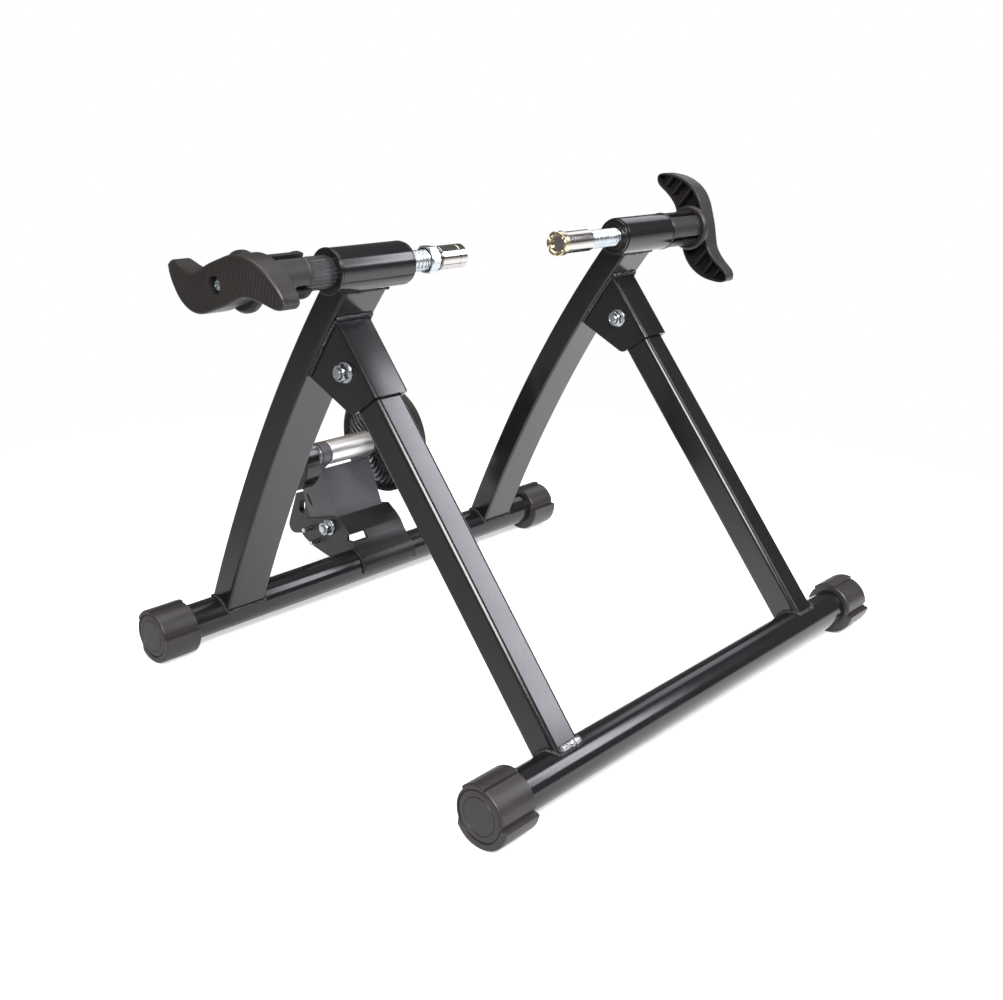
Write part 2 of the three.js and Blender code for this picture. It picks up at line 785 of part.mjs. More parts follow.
// Handle made with its outer face towards +X and its hub ring starting at zero.
function handleBody() {
  const front = bladeBack + bladeDepth;
  let pocket = plate(bladeOutline(bladeWall), bladeBack - overrun, bladeBack + bladePocketDepth);
  pocket = pocket.subtract(bar(0, front, hubRadius + bladeWall));
  for (const share of bladeRibShares) {
    for (const end of [-1, 1]) {
      const place = end * share * bladeReach;
      const rib = plate(
        [
          [place - bladeRib / 2, -bladeReach],
          [place + bladeRib / 2, -bladeReach],
          [place + bladeRib / 2, bladeReach],
          [place - bladeRib / 2, bladeReach],
        ],
        0,
        front,
      );
      pocket = pocket.subtract(rib);
    }
  }
  const blade = plate(bladeOutline(0), bladeBack, front).subtract(pocket);
  const bowed = blade.warp((vertex) => {
    const reach = vertex[1] / bladeReach;
    const share = 1 - (bladeBow / bladeDepth) * reach * reach;
    vertex[0] = bladeBack + (vertex[0] - bladeBack) * share;
  });
  const ring = turned([
    [0, 0],
    [0, hubRingRadius - hubRingLength / 4],
    [hubRingLength / 4, hubRingRadius],
    [hubRingLength - hubRingLength / 4, hubRingRadius],
    [hubRingLength, hubRingRadius - hubRingLength / 4],
    [hubRingLength, 0],
  ]);
  let sleeve = bar(-staveLength, weldGap, staveRadius).add(
    turned([
      [-staveLength, 0],
      [-staveLength, staveRadius],
      [-staveLength + staveTipLength / 4, staveTipRadius],
      [-staveLength + (3 * staveTipLength) / 4, staveTipRadius],
      [-staveLength + staveTipLength, staveRadius],
      [-staveLength + staveTipLength, 0],
    ]),
  );
  sleeve = sleeve.subtract(bar(-staveLength - overrun, 0, staveInnerRadius));
  for (let i = 0; i < staves / 2; i++) {
    const slot = plate(
      [
        [-staveSlot / 2, -hubRingRadius],
        [staveSlot / 2, -hubRingRadius],
        [staveSlot / 2, hubRingRadius],
        [-staveSlot / 2, hubRingRadius],
      ],
      -staveLength - overrun,
      0,
    );
    sleeve = sleeve.subtract(slot.rotate([staveTurn + (360 * i) / staves, 0, 0]));
  }
  return bowed
    .add(bar(0, front - screwRecessDepth, hubRadius))
    .add(ring)
    .add(sleeve)
    .subtract(bar(-overrun, handleBoreDepth + weldGap, rodRadius + runningGap))
    .subtract(bar(0, front + overrun, screwRadius + runningGap))
    .subtract(bar(front - screwRecessDepth, front + overrun, screwRecessRadius));
}

// The same handle on both ends. The left one is turned half a turn about the upright axis.
function handle(side, out) {
  const turn = side === "left" ? leftHandleTurn : rightHandleTurn;
  const turned = handleBody().rotate([turn, 0, 0]);
  const facing = out < 0 ? turned.rotate([0, 0, 180]) : turned;
  return facing.translate([out * ringStart[side], headBack, headHeight]);
}

function handleScrew(side, out) {
  const seat = ringStart[side] + bladeBack + bladeDepth - screwRecessDepth + weldGap;
  const tip = ringStart[side] + handleBoreDepth - screwLength + runningGap;
  const [headLow, headHigh] = outward(out, seat, seat + screwHeadHeight);
  const [low, high] = outward(out, tip, seat);
  return bar(headLow, headHigh, screwHeadRadius, headBack, headHeight).add(
    bar(low, high, screwRadius, headBack, headHeight),
  );
}

// The saddle's outer curve from the tube's front to its top edge.
function saddleCurve() {
  const wrap = tubeRadius + weldGap + saddleWall;
  const upper = saddleShares.map(([back, rise]) => [
    rearBack + back * saddleTopBack,
    tubeHeight + rise * saddleTopRise,
  ]);
  return [
    ...arc(rearBack, tubeHeight, wrap, saddleWrapFrom, saddleWrapTo, saddleWrapSteps),
    ...upper,
  ];
}

const saddleTop = [rearBack + saddleTopBack, tubeHeight + saddleTopRise];

// Ear outline behind the saddle's curve.
function earOutline() {
  const points = earShares.map(([back, rise]) => [
    saddleTop[0] + back * earReach,
    tubeHeight + rise * saddleTopRise,
  ]);
  return points.flatMap((point, i) => {
    const before = points[i - 1];
    const after = points[i + 1];
    return before && after ? softCorner(before, point, after, earTipRadius) : [point];
  });
}

const saddleLeft = -armLeft - saddlePlay - saddleWall;
const saddleRight = armRight + saddlePlay + saddleWall;

// Folded sheet: a curved front plate and two ears that carry the arm's bolt.
function saddleBracket() {
  const curve = saddleCurve();
  const outline = [...curve, ...earOutline(), [rearBack, tubeHeight]];
  const curveIn = curve.map(([back, height], i) => {
    const before = curve[Math.max(i - 1, 0)];
    const after = curve[Math.min(i + 1, curve.length - 1)];
    const run = Math.hypot(after[0] - before[0], after[1] - before[1]);
    return [
      back + (saddleWall * (after[1] - before[1])) / run,
      height - (saddleWall * (after[0] - before[0])) / run,
    ];
  });
  const topIn = curveIn[curveIn.length - 1];
  const hollow = [
    [curveIn[0][0], 0],
    ...curveIn,
    [topIn[0], saddleTop[1] + earReach],
    [rearBack + 2 * earReach, saddleTop[1] + earReach],
    [rearBack + 2 * earReach, 0],
  ];
  const windowFrom = saddleLeft - weldGap;
  const windowBack = rearBack + windowDepth;
  const windowLow = tubeHeight + windowRise - windowHeight / 2;
  const window = plate(
    [
      [rearBack - earReach, windowLow],
      [windowBack, windowLow],
      [windowBack, windowLow + windowHeight],
      [rearBack - earReach, windowLow + windowHeight],
    ],
    windowFrom,
    windowFrom + windowWidth,
  );
  let saddle = plate(outline, saddleLeft, saddleRight)
    .subtract(plate(hollow, saddleLeft + saddleWall, saddleRight - saddleWall))
    .subtract(window)
    .subtract(bar(-armWidth, armWidth, tubeRadius + weldGap, rearBack, tubeHeight, roundSides))
    .subtract(bar(-armWidth, armWidth, armBoltRadius + runningGap, pivotBack, pivotHeight));
  studBack.forEach((back, i) => {
    const hole = [studRadius + runningGap, rearBack + back, tubeHeight + studRise[i]];
    saddle = saddle.subtract(bar(saddleLeft - overrun, saddleLeft + saddleWall + overrun, ...hole));
  });
  return saddle;
}

function earStud(i) {
  const inner = saddleLeft + saddleWall;
  return bar(inner - studLength, inner, studRadius, rearBack + studBack[i], tubeHeight + studRise[i]);
}

// Foot and top of the arm's web, and its flanges' outline round pivot and roller axis.
const webFoot = [pivotBack - webFootFront, pivotHeight + webFootRise];
const webTopHeight = rollerZ - rollerRadius - webTopDrop;

function atFlange([back, rise]) {
  return [
    pivotBack - webFootFront + back * flangeDepth * (1 + rise),
    pivotHeight + rise * (rollerZ - pivotHeight),
  ];
}

function armOutline() {
  return [
    webFoot,
    [pivotBack + webTopBack, webTopHeight],
    ...arc(rollerY, rollerZ, armTopRadius, flangeEarFrom, -10, 10),
    ...flangeBackShares.map(atFlange),
    ...arc(pivotBack, pivotHeight, flangeFootRadius, -60, -150, 4),
  ];
}

// A hole with two bowed sides that lean back with the flange's edge.
function leafOutline() {
  const along = [Math.sin(leafLean * degree), Math.cos(leafLean * degree)];
  const middle = [pivotBack + leafBack, pivotHeight + leafRise];
  const points = [];
  for (let i = 0; i < 4 * leafSteps; i++) {
    const turn = (Math.PI * i) / (2 * leafSteps);
    const run = (leafLength / 2) * Math.cos(turn);
    const wide = (leafWidth / 2) * Math.sin(turn) * Math.abs(Math.sin(turn));
    points.push([
      middle[0] + along[0] * run + along[1] * wide,
      middle[1] + along[1] * run - along[0] * wide,
    ]);
  }
  return points;
}

function resistanceArm() {
  const outline = armOutline();
  const [foot, top] = outline;
  const lean = Math.atan2(top[0] - foot[0], top[1] - foot[1]);
  const step = [armWall * Math.cos(lean), -armWall * Math.sin(lean)];
  const far = rollerZ + armWidth;
  const low = [foot[0] + step[0] - armWidth * Math.sin(lean), foot[1] + step[1] - armWidth * Math.cos(lean)];
  const hollow = [
    low,
    [top[0] + step[0], top[1]],
    [rearBack, top[1]],
    [rearBack, far],
    [rearBack + armWidth * 2, far],
    [rearBack + armWidth * 2, low[1]],
  ];
  const leaf = leafOutline();
  const cupOuter = bearingRadius + runningGap + bearingCupWall;
  const cupLength = bearingWidth + weldGap;
  return plate(outline, -armLeft, armRight)
    .subtract(plate(hollow, -armLeft + armWall, armRight - armWall))
    .add(bar(-armLeft - cupLength, -armLeft + armWall * half, cupOuter, rollerY, rollerZ))
    .add(bar(armRight - armWall * half, armRight + cupLength, cupOuter, rollerY, rollerZ))
    .subtract(bar(-armWidth, -armLeft, bearingRadius + runningGap, rollerY, rollerZ))
    .subtract(bar(armRight, armWidth, bearingRadius + runningGap, rollerY, rollerZ))
    .subtract(bar(-armWidth, armWidth, spacerRadius + runningGap, rollerY, rollerZ))
    .subtract(bar(-armWidth, armWidth, armBoltRadius + runningGap, pivotBack, pivotHeight))
    .subtract(plate(leaf, -armWidth, armWidth));
}

function armBolt() {
  const seat = saddleRight + weldGap;
  const end = saddleLeft - weldGap - armFlangeHeight - armHexHeight - armBoltStand;
  return bar(end, seat, armBoltRadius, pivotBack, pivotHeight)
    .add(bar(seat, seat + armFlangeHeight, armFlangeRadius, pivotBack, pivotHeight))
    .add(hexBar(seat, seat + armHexHeight, armHexWidth, pivotBack, pivotHeight));
}

function armNut() {
  return flangeNut(
    saddleLeft - weldGap, armFlangeHeight, armFlangeRadius, armHexHeight, armHexWidth,
    armBoltRadius, pivotBack, pivotHeight,
  );
}

const bearingPlace = {
  left: [-armLeft - bearingWidth, -armLeft - weldGap],
  right: [armRight + weldGap, armRight + bearingWidth],
};

function bearing(side) {
  const [low, high] = bearingPlace[side];
  return pipe(low, high, bearingRadius, shaftRadius + runningGap, rollerY, rollerZ);
}

// Places along the roller's shaft.
const flywheelHigh = -armLeft - flywheelGap;
const flywheelLow = flywheelHigh - flywheelWidth;
const brakeLow = armRight + brakeGap;
const brakeHigh = brakeLow + brakeWidth;
const shaftLow = flywheelLow - shaftNutLength - 2 * weldGap;
const rotorLow = brakeLow + brakeWall + carrierThick + magnetThick + 2 * weldGap + rotorGap;

function roller() {
  const low = -armLeft + armWall + rollerEndPlay;
  const high = armRight - armWall - rollerEndPlay;
  const bore = shaftRadius + weldGap;
  const wide = rollerRadius - rollerWall;
  return pipe(low, high, rollerRadius, bore, rollerY, rollerZ, roundSides)
    .subtract(pipe(low - overrun, low + rollerWall, wide, bore + rollerWall, rollerY, rollerZ))
    .subtract(pipe(high - rollerWall, high + overrun, wide, bore + rollerWall, rollerY, rollerZ));
}

function shaft() {
  return bar(shaftLow, rotorLow + rotorThick + rollerWall, shaftRadius, rollerY, rollerZ);
}

function flywheel() {
  const bore = shaftRadius + weldGap;
  return pipe(flywheelLow, flywheelHigh, flywheelRadius, bore, rollerY, rollerZ, roundSides).subtract(
    pipe(
      flywheelLow - overrun, flywheelLow + flywheelDish,
      flywheelRadius - 2 * flywheelDish, shaftNutWidth, rollerY, rollerZ, roundSides,
    ),
  );
}

function spacerTube() {
  const low = flywheelHigh + weldGap;
  const high = bearingPlace.left[0] - weldGap;
  return pipe(low, high, spacerRadius, shaftRadius + weldGap, rollerY, rollerZ);
}

function shaftNut() {
  const high = flywheelLow - weldGap;
  return hexBar(high - shaftNutLength, high, shaftNutWidth, rollerY, rollerZ).subtract(
    bar(high - shaftNutLength - overrun, high + overrun, shaftRadius + weldGap, rollerY, rollerZ),
  );
}

// Inner shell of the brake, with the boss that slips over the arm's bearing cup.
function brakeShell() {
  const cupOuter = bearingRadius + runningGap + bearingCupWall + weldGap;
  const rimHigh = brakeLow + brakeWidth / 2 - weldGap;
  return pipe(brakeLow, rimHigh, brakeRadius, brakeRadius - brakeRim, rollerY, rollerZ, roundSides)
    .add(pipe(brakeLow, brakeLow + brakeWall, brakeRadius, cupOuter, rollerY, rollerZ, roundSides))
    .add(pipe(armRight + weldGap, brakeLow + brakeWall, cupOuter + brakeBossWall, cupOuter, rollerY, rollerZ));
}

function brakeCover() {
  const rimLow = brakeLow + brakeWidth / 2;
  const round = brakeWall;
  return turned(
    [
      [rimLow, brakeRadius - brakeRim],
      [rimLow, brakeRadius],
      [brakeHigh - round, brakeRadius],
      [brakeHigh, brakeRadius - round],
      [brakeHigh, 0],
      [brakeHigh - brakeWall, 0],
      [brakeHigh - brakeWall, brakeRadius - brakeRim],
      [rimLow, brakeRadius - brakeRim],
    ],
    rollerY, rollerZ, roundSides,
  );
}

function magnetCarrier() {
  const low = brakeLow + brakeWall + weldGap;
  return pipe(low, low + carrierThick, carrierRadius, carrierBore, rollerY, rollerZ, roundSides);
}

function magnet(i) {
  const low = brakeLow + brakeWall + carrierThick + 2 * weldGap;
  const angle = (2 * Math.PI * i) / magnets;
  const back = rollerY + magnetCircle * Math.cos(angle);
  const height = rollerZ + magnetCircle * Math.sin(angle);
  return bar(low, low + magnetThick, magnetRadius, back, height);
}

function rotorDisc() {
  const bore = shaftRadius + weldGap;
  const hubLow = rotorLow - rollerWall;
  return pipe(rotorLow, rotorLow + rotorThick, rotorRadius, bore, rollerY, rollerZ, roundSides).add(
    pipe(hubLow, rotorLow + rotorThick, rotorHubRadius, bore, rollerY, rollerZ),
  );
}

// Lever on the arm's bolt, between the flanges, with its round end behind.
function releaseLever() {
  const low = -armLeft + armWall + 2 * weldGap;
  const end = [pivotBack + leverEndBack, pivotHeight - leverEndDrop];
  const outline = [
    ...arc(pivotBack, pivotHeight, leverHubRadius, leverHubFrom, leverHubTo, 5),
    [pivotBack + leverTopBack - leverEndRadius, pivotHeight + leverTopRise + leverSlotWidth / 4],
    [pivotBack + leverTopBack + leverSlotWidth / 4, pivotHeight + leverTopRise - leverSlotWidth / 4],
    ...arc(end[0], end[1], leverEndRadius, leverEndFrom, leverEndTo, 5),
  ];
  const lean = Math.atan2(leverTopRise + leverEndDrop, leverTopBack - leverEndBack);
  const reach = (leverSlotLength - leverSlotWidth) / 2;
  const middle = [pivotBack + leverSlotBack, pivotHeight + leverSlotRise];
  const turn = lean / degree;
  const slot = [
    ...arc(
      middle[0] + reach * Math.cos(lean), middle[1] + reach * Math.sin(lean),
      leverSlotWidth / 2, turn - 90, turn + 90, 6,
    ),
    ...arc(
      middle[0] - reach * Math.cos(lean), middle[1] - reach * Math.sin(lean),
      leverSlotWidth / 2, turn + 90, turn + 270, 6,
    ),
  ];
  return plate(outline, low, low + leverThick)
    .subtract(plate(slot, low - overrun, low + leverThick + overrun))
    .subtract(bar(-armWidth, armWidth, armBoltRadius + runningGap, pivotBack, pivotHeight));
}

// Frame.
add("rear_base_tube", rearBaseTube(), powderCoat);
add("front_base_tube", frontBaseTube(), powderCoat);
for (const { side, x, out } of sides) {
  add(`rear_${side}_cap`, endCap(out, rearBack, -capRearTurn), rubberBlack);
  add(`front_${side}_cap`, endCap(out, frontBack, 0), rubberBlack);
  add(`rear_${side}_leg`, rearLeg(x), powderCoat);
  add(`front_${side}_leg`, frontLeg(x), powderCoat);
  add(`${side}_head_tube`, headTube(x), powderCoat);
  add(`${side}_fold_bracket`, foldBracket(x), powderCoat);
  add(`${side}_fold_bolt`, foldBolt(x), zincPlate);
  add(`${side}_fold_nut`, foldNut(x), zincPlate);
  add(`${side}_fold_bush`, foldBush(x), zincPlate);
}

// Clamps.
for (const { side, out } of sides) {
  add(`${side}_inner_bush`, innerBush(out), plasticBlack);
  add(`${side}_threaded_sleeve`, threadedSleeve(out), plasticBlack);
  add(`${side}_screw_rod`, screwRod(side, out), zincPlate);
  add(`${side}_axle_cup`, axleCup(side, out), chromePlate);
  add(`${side}_handle`, handle(side, out), plasticBlack);
  add(`${side}_handle_screw`, handleScrew(side, out), zincPlate);
}
add("left_lock_nut", lockNut(), zincPlate);

// Resistance unit.
add("saddle_bracket", saddleBracket(), powderCoat);
studBack.forEach((back, i) => add(`ear_stud_${i + 1}`, earStud(i), zincPlate));
add("resistance_arm", resistanceArm(), powderCoat);
add("arm_bolt", armBolt(), zincPlate);
add("arm_nut", armNut(), zincPlate);
add("release_lever", releaseLever(), plasticBlack);
for (const { side } of sides) add(`${side}_bearing`, bearing(side), brightSteel);
add("roller", roller(), brightSteel);
add("roller_shaft", shaft(), brightSteel);
add("flywheel", flywheel(), powderCoat);
add("spacer_tube", spacerTube(), zincPlate);
add("shaft_nut", shaftNut(), zincPlate);
add("brake_shell", brakeShell(), plasticBlack);
add("brake_cover", brakeCover(), plasticBlack);
add("rotor_disc", rotorDisc(), aluminium);
add("magnet_carrier", magnetCarrier(), zincPlate);
for (let i = 0; i < magnets; i++) add(`magnet_${i + 1}`, magnet(i), magnetNickel);

// The origin is the middle of the whole object's box, on the floor.
const box = new THREE.Box3().setFromObject(group);
const middle = box.getCenter(new THREE.Vector3());
group.position.set(-middle.x, -middle.y, 0);

export default group;
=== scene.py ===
from math import asin, cos, degrees, pi, radians, sin, sqrt, tau

import bmesh
import bpy
from mathutils import Matrix, Vector


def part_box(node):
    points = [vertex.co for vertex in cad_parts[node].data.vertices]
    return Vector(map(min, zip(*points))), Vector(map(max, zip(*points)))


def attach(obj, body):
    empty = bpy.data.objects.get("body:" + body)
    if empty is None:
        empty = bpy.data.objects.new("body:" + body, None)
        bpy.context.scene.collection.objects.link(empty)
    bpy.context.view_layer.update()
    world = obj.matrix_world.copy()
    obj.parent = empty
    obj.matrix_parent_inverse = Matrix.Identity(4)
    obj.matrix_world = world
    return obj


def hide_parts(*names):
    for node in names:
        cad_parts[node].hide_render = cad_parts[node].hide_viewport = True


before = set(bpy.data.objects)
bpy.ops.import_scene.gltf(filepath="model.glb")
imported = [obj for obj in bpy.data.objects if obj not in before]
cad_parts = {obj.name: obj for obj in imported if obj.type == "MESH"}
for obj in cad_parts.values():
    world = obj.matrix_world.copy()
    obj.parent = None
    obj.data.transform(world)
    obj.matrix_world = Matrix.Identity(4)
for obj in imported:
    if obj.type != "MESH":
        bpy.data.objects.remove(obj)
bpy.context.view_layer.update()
scene = bpy.context.scene
scene.view_settings.view_transform = "Standard"

# Stage and lights.
# White seamless floor and backdrop of a catalogue picture. The floor is lit past white, so that
# only the contact shadows under the tubes and caps show.


def linear(code):
    """A colour given as a six-digit hex code, in linear light."""
    parts = [int(code[i : i + 2], 16) / 255 for i in (0, 2, 4)]
    return [c / 12.92 if c <= 0.04045 else ((c + 0.055) / 1.055) ** 2.4 for c in parts] + [1]


def node(tree, kind, inputs=None, **settings):
    """Adds a node with its settings. An input takes a value, another node's output, or a node,
    which stands for its first output."""
    made = tree.nodes.new(kind)
    for name, value in settings.items():
        setattr(made, name, value)
    for name, value in (inputs or {}).items():
        if isinstance(value, bpy.types.Node):
            value = value.outputs[0]
        if isinstance(value, bpy.types.NodeSocket):
            tree.links.new(value, made.inputs[name])
        else:
            made.inputs[name].default_value = value
    return made


def new_material(name):
    """An empty material and its node tree."""
    material = bpy.data.materials.new(name)
    material.use_nodes = True
    material.node_tree.nodes.clear()
    return material, material.node_tree


def placed(name, data):
    """A new object in the scene, at the origin."""
    made = bpy.data.objects.new(name, data)
    scene.collection.objects.link(made)
    return made


scene.world = bpy.data.worlds.new("studio")
scene.world.use_nodes = True
tree = scene.world.node_tree
tree.nodes.clear()
seen = node(tree, "ShaderNodeLightPath")
backdrop = node(tree, "ShaderNodeBackground", {"Color": (1, 1, 1, 1), "Strength": 1.0})
heading = node(tree, "ShaderNodeTexCoord").outputs["Generated"]
leftward = node(
    tree, "ShaderNodeVectorMath", {0: heading, 1: (-0.7, 0.7, -0.1)}, operation="DOT_PRODUCT"
).outputs["Value"]
walls = node(
    tree,
    "ShaderNodeMapRange",
    {"Value": leftward, "From Min": -0.2, "From Max": 0.9, "To Min": 0.14, "To Max": 0.34},
    interpolation_type="SMOOTHSTEP",
)
upward = node(tree, "ShaderNodeSeparateXYZ", {0: heading}).outputs["Z"]
ceiling = node(
    tree,
    "ShaderNodeMapRange",
    {"Value": upward, "From Min": 0.75, "From Max": 0.98, "To Min": 0.16, "To Max": 0.8},
    interpolation_type="SMOOTHSTEP",
)
shine = node(tree, "ShaderNodeMath", {0: walls, 1: ceiling}, operation="MAXIMUM")
room = node(tree, "ShaderNodeBackground", {"Color": linear("f6ece6"), "Strength": shine})
sky = node(tree, "ShaderNodeMixShader", {0: seen.outputs["Is Camera Ray"], 1: room, 2: backdrop})
node(tree, "ShaderNodeOutputWorld", {"Surface": sky})

floor_white, tree = new_material("white floor")
seen = node(tree, "ShaderNodeLightPath")
place = node(tree, "ShaderNodeNewGeometry").outputs["Position"]
matt = node(tree, "ShaderNodeBsdfDiffuse", {"Color": linear("f4f4f4")})
lift = node(tree, "ShaderNodeEmission", {"Color": (1, 1, 1, 1), "Strength": 0.5})
lifted = node(tree, "ShaderNodeAddShader", {0: matt, 1: lift})
far = node(tree, "ShaderNodeVectorMath", {0: place}, operation="LENGTH").outputs["Value"]
fade = node(
    tree,
    "ShaderNodeMapRange",
    {"Value": far, "From Min": 0.5, "From Max": 0.9},
    interpolation_type="SMOOTHSTEP",
)
paper = node(tree, "ShaderNodeEmission", {"Color": (1, 1, 1, 1), "Strength": 1.0})
faded = node(tree, "ShaderNodeMixShader", {0: fade, 1: lifted, 2: paper})
# Seen only in reflections: a painted glow to the right of the stand, painted shade to the left.
rightward = node(tree, "ShaderNodeSeparateXYZ", {0: place}).outputs["X"]
painted_light_ramp = node(
    tree,
    "ShaderNodeMapRange",
    {"Value": rightward, "From Min": -0.45, "From Max": 0.1},
    interpolation_type="SMOOTHSTEP",
)
# Painted shade: the paper's colour in reflections darkens to the left.
painted_shade_tone = node(tree, "ShaderNodeMapRange", {"Value": painted_light_ramp, "To Min": 0.35, "To Max": 0.92})
sheet = node(tree, "ShaderNodeBsdfDiffuse", {"Color": painted_shade_tone})
# Painted glow: light given off in reflections only, growing to the right.
painted_glow_strength = node(tree, "ShaderNodeMath", {0: painted_light_ramp, 1: 0.5}, operation="MULTIPLY")
painted_glow = node(tree, "ShaderNodeEmission", {"Color": linear("f4f3ff"), "Strength": painted_glow_strength})
painted_glow_floor = node(tree, "ShaderNodeAddShader", {0: sheet, 1: painted_glow})
mirrored = node(
    tree, "ShaderNodeMixShader", {0: seen.outputs["Is Glossy Ray"], 1: matt, 2: painted_glow_floor}
)
both = node(tree, "ShaderNodeMixShader", {0: seen.outputs["Is Camera Ray"], 1: mirrored, 2: faded})
node(tree, "ShaderNodeOutputMaterial", {"Surface": both})
floor_mesh = bpy.data.meshes.new("floor")
floor_mesh.from_pydata([(-9, -9, 0), (9, -9, 0), (9, 9, 0), (-9, 9, 0)], [], [(0, 1, 2, 3)])
floor_mesh.materials.append(floor_white)
placed("floor", floor_mesh)

# Each softbox: its direction from the stand, its distance, width, height, power and tint.
for name, towards, distance, width, height, power, tint in (
    ("overhead softbox", (0.05, 0.0, 1), 2.1, 1.9, 1.9, 28, "ffffff"),
    ("strip softbox", (0.635, -0.552, 0.54), 1.9, 0.3, 1.0, 11, "f6f6ff"),
    ("rim softbox", (0.8, 0.2, 0.56), 1.9, 0.5, 0.9, 2.6, "f6f6ff"),
    ("left softbox", (-0.5, -0.6, 0.6), 2.0, 1.5, 0.6, 58, "fffcfa"),
):
    lamp = placed(name, bpy.data.lights.new(name, "AREA"))
    lamp.data.shape = "RECTANGLE"
    lamp.data.size, lamp.data.size_y = width, height
    lamp.data.energy = power
    lamp.data.color = linear(tint)[:3]
    # The height of each one lies along an arc about the X axis.
    facing = Vector(towards).normalized()
    tall = Vector((1, 0, 0)).cross(facing).normalized()
    lamp.matrix_world = Matrix.Translation(Vector((0, 0, 0.2)) + facing * distance) @ (
        Matrix((tall.cross(facing), tall, facing)).transposed().to_4x4()
    )

yaw, pitch, roll = 0.729, 0.334, 0.026
forward = Vector((cos(yaw) * cos(pitch), sin(yaw) * cos(pitch), -sin(pitch)))
level = Vector((sin(yaw), -cos(yaw), 0))
upright = Vector((cos(yaw) * sin(pitch), sin(yaw) * sin(pitch), cos(pitch)))
right = level * cos(roll) + upright * sin(roll)
up = upright * cos(roll) - level * sin(roll)
camera = placed("camera", bpy.data.cameras.new("camera"))
camera.data.sensor_width = 36
camera.data.lens = 43.397
camera.matrix_world = Matrix.Translation((-0.79115, -0.73758, 0.51128)) @ (
    Matrix((right, up, -forward)).transposed().to_4x4()
)
scene.camera = camera

# Base tubes.
# Two steel tubes of 34 mm, cut square and powder coated satin black. The caps close their ends.


def skin(rows, count, ring=False, capped=False):
    """Faces round closed rows of points. A ring's last row joins its first."""
    last = (rows - 1) * count
    faces = [tuple(range(count)), tuple(range(last, last + count))] if capped else []
    for row in range(rows if ring else rows - 1):
        here, after = row * count, (row + 1) % rows * count
        for i in range(count):
            j = (i + 1) % count
            faces.append((here + i, here + j, after + j, after + i))
    return faces


def turned(rows, centre, sides=96, ring=False):
    """Points and faces of a body turned about a line along X. A row is (x, radius), and either
    may be a function of the angle. A ring's last row joins its first."""
    points = []
    for x, radius in rows:
        for i in range(sides):
            angle = tau * i / sides
            reach = radius(angle) if callable(radius) else radius
            along = x(angle) if callable(x) else x
            points.append((along, centre[0] + reach * cos(angle), centre[1] + reach * sin(angle)))
    return points, skin(len(rows), sides, ring)


def softened(corners, radius, steps=3, ring=False):
    """A profile with its corners rounded. The ends of an open one stay as they are."""
    out = []
    for i, corner in enumerate(corners):
        here = Vector(corner)
        if not ring and i in (0, len(corners) - 1):
            out.append(tuple(here))
            continue
        before = Vector(corners[i - 1]) - here
        after = Vector(corners[(i + 1) % len(corners)]) - here
        reach = min(radius, before.length * 0.45, after.length * 0.45)
        first = here + before.normalized() * reach
        last = here + after.normalized() * reach
        for k in range(steps + 1):
            t = k / steps
            out.append(tuple(first * (1 - t) ** 2 + here * (2 * t * (1 - t)) + last * t * t))
    return out


def joined(name, shells):
    """One mesh from shells of points and faces, with its faces pointing outwards."""
    work = bmesh.new()
    for points, faces in shells:
        made = [work.verts.new(point) for point in points]
        for face in faces:
            work.faces.new([made[i] for i in face])
    bmesh.ops.remove_doubles(work, verts=work.verts, dist=2e-6)
    bmesh.ops.recalc_face_normals(work, faces=work.faces)
    mesh = bpy.data.meshes.new(name)
    work.to_mesh(mesh)
    work.free()
    return mesh


def baked(made):
    """The mesh of an object with its modifiers applied."""
    graph = bpy.context.evaluated_depsgraph_get()
    return bpy.data.meshes.new_from_object(
        made.evaluated_get(graph), preserve_all_data_layers=True, depsgraph=graph
    )


def piece(name, shells, material, slot, body, *stands_for, sharp=35):
    """Makes one piece from its shells, smooth but for its sharp edges, and fixes it to its body."""
    mesh = joined(name, shells)
    mesh.shade_smooth()
    mesh.set_sharp_from_angle(angle=radians(sharp))
    mesh.materials.append(material)
    made = placed(name, mesh)
    # Flat walls keep their own direction right up to the rounded edges.
    made.modifiers.new("even shading", "WEIGHTED_NORMAL").keep_sharp = True
    shaded = baked(made)
    shaded.name = name
    made.modifiers.clear()
    made.data = shaded
    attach(made, body)
    if stands_for:
        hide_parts(*stands_for)


def finish(name, dark, light, metallic, smooth, rough, grain, bump, stretch=(1, 1, 1), cloud=0.03):
    """A finish with cloudy colour and roughness, and a grain of the given size in metres."""
    material, tree = new_material(name)
    place = node(tree, "ShaderNodeTexCoord").outputs["Object"]
    spot = node(tree, "ShaderNodeMapping", {"Vector": place, "Scale": stretch})
    clouds, grains = (
        node(tree, "ShaderNodeTexNoise", {"Vector": spot, "Scale": 1 / size, "Detail": detail})
        for size, detail in ((cloud, 5.0), (grain, 3.0))
    )
    colour = node(
        tree, "ShaderNodeMix", {0: clouds, 6: linear(dark), 7: linear(light)}, data_type="RGBA"
    )
    blend = node(tree, "ShaderNodeMath", {0: clouds, 1: grains}, operation="ADD")
    dull = node(
        tree,
        "ShaderNodeMapRange",
        {"Value": blend, "From Min": 0.6, "From Max": 1.4, "To Min": smooth, "To Max": rough},
    )
    relief = node(
        tree, "ShaderNodeBump", {"Height": grains, "Strength": bump, "Distance": grain / 4}
    )
    surface = node(
        tree,
        "ShaderNodeBsdfPrincipled",
        {
            "Base Color": colour.outputs[2],
            "Metallic": metallic,
            "Roughness": dull,
            "Normal": relief,
        },
    )
    node(tree, "ShaderNodeOutputMaterial", {"Surface": surface})
    return material


def middle(name):
    """The middle of a CAD piece across X: its place front to back, and its height."""
    low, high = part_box(name)
    return ((low[1] + high[1]) / 2, (low[2] + high[2]) / 2)


def ends(name, out=1):
    """A CAD piece's two ends along X, in the direction given as 1 or -1."""
    low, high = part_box(name)
    return (low[0], high[0]) if out > 0 else (high[0], low[0])


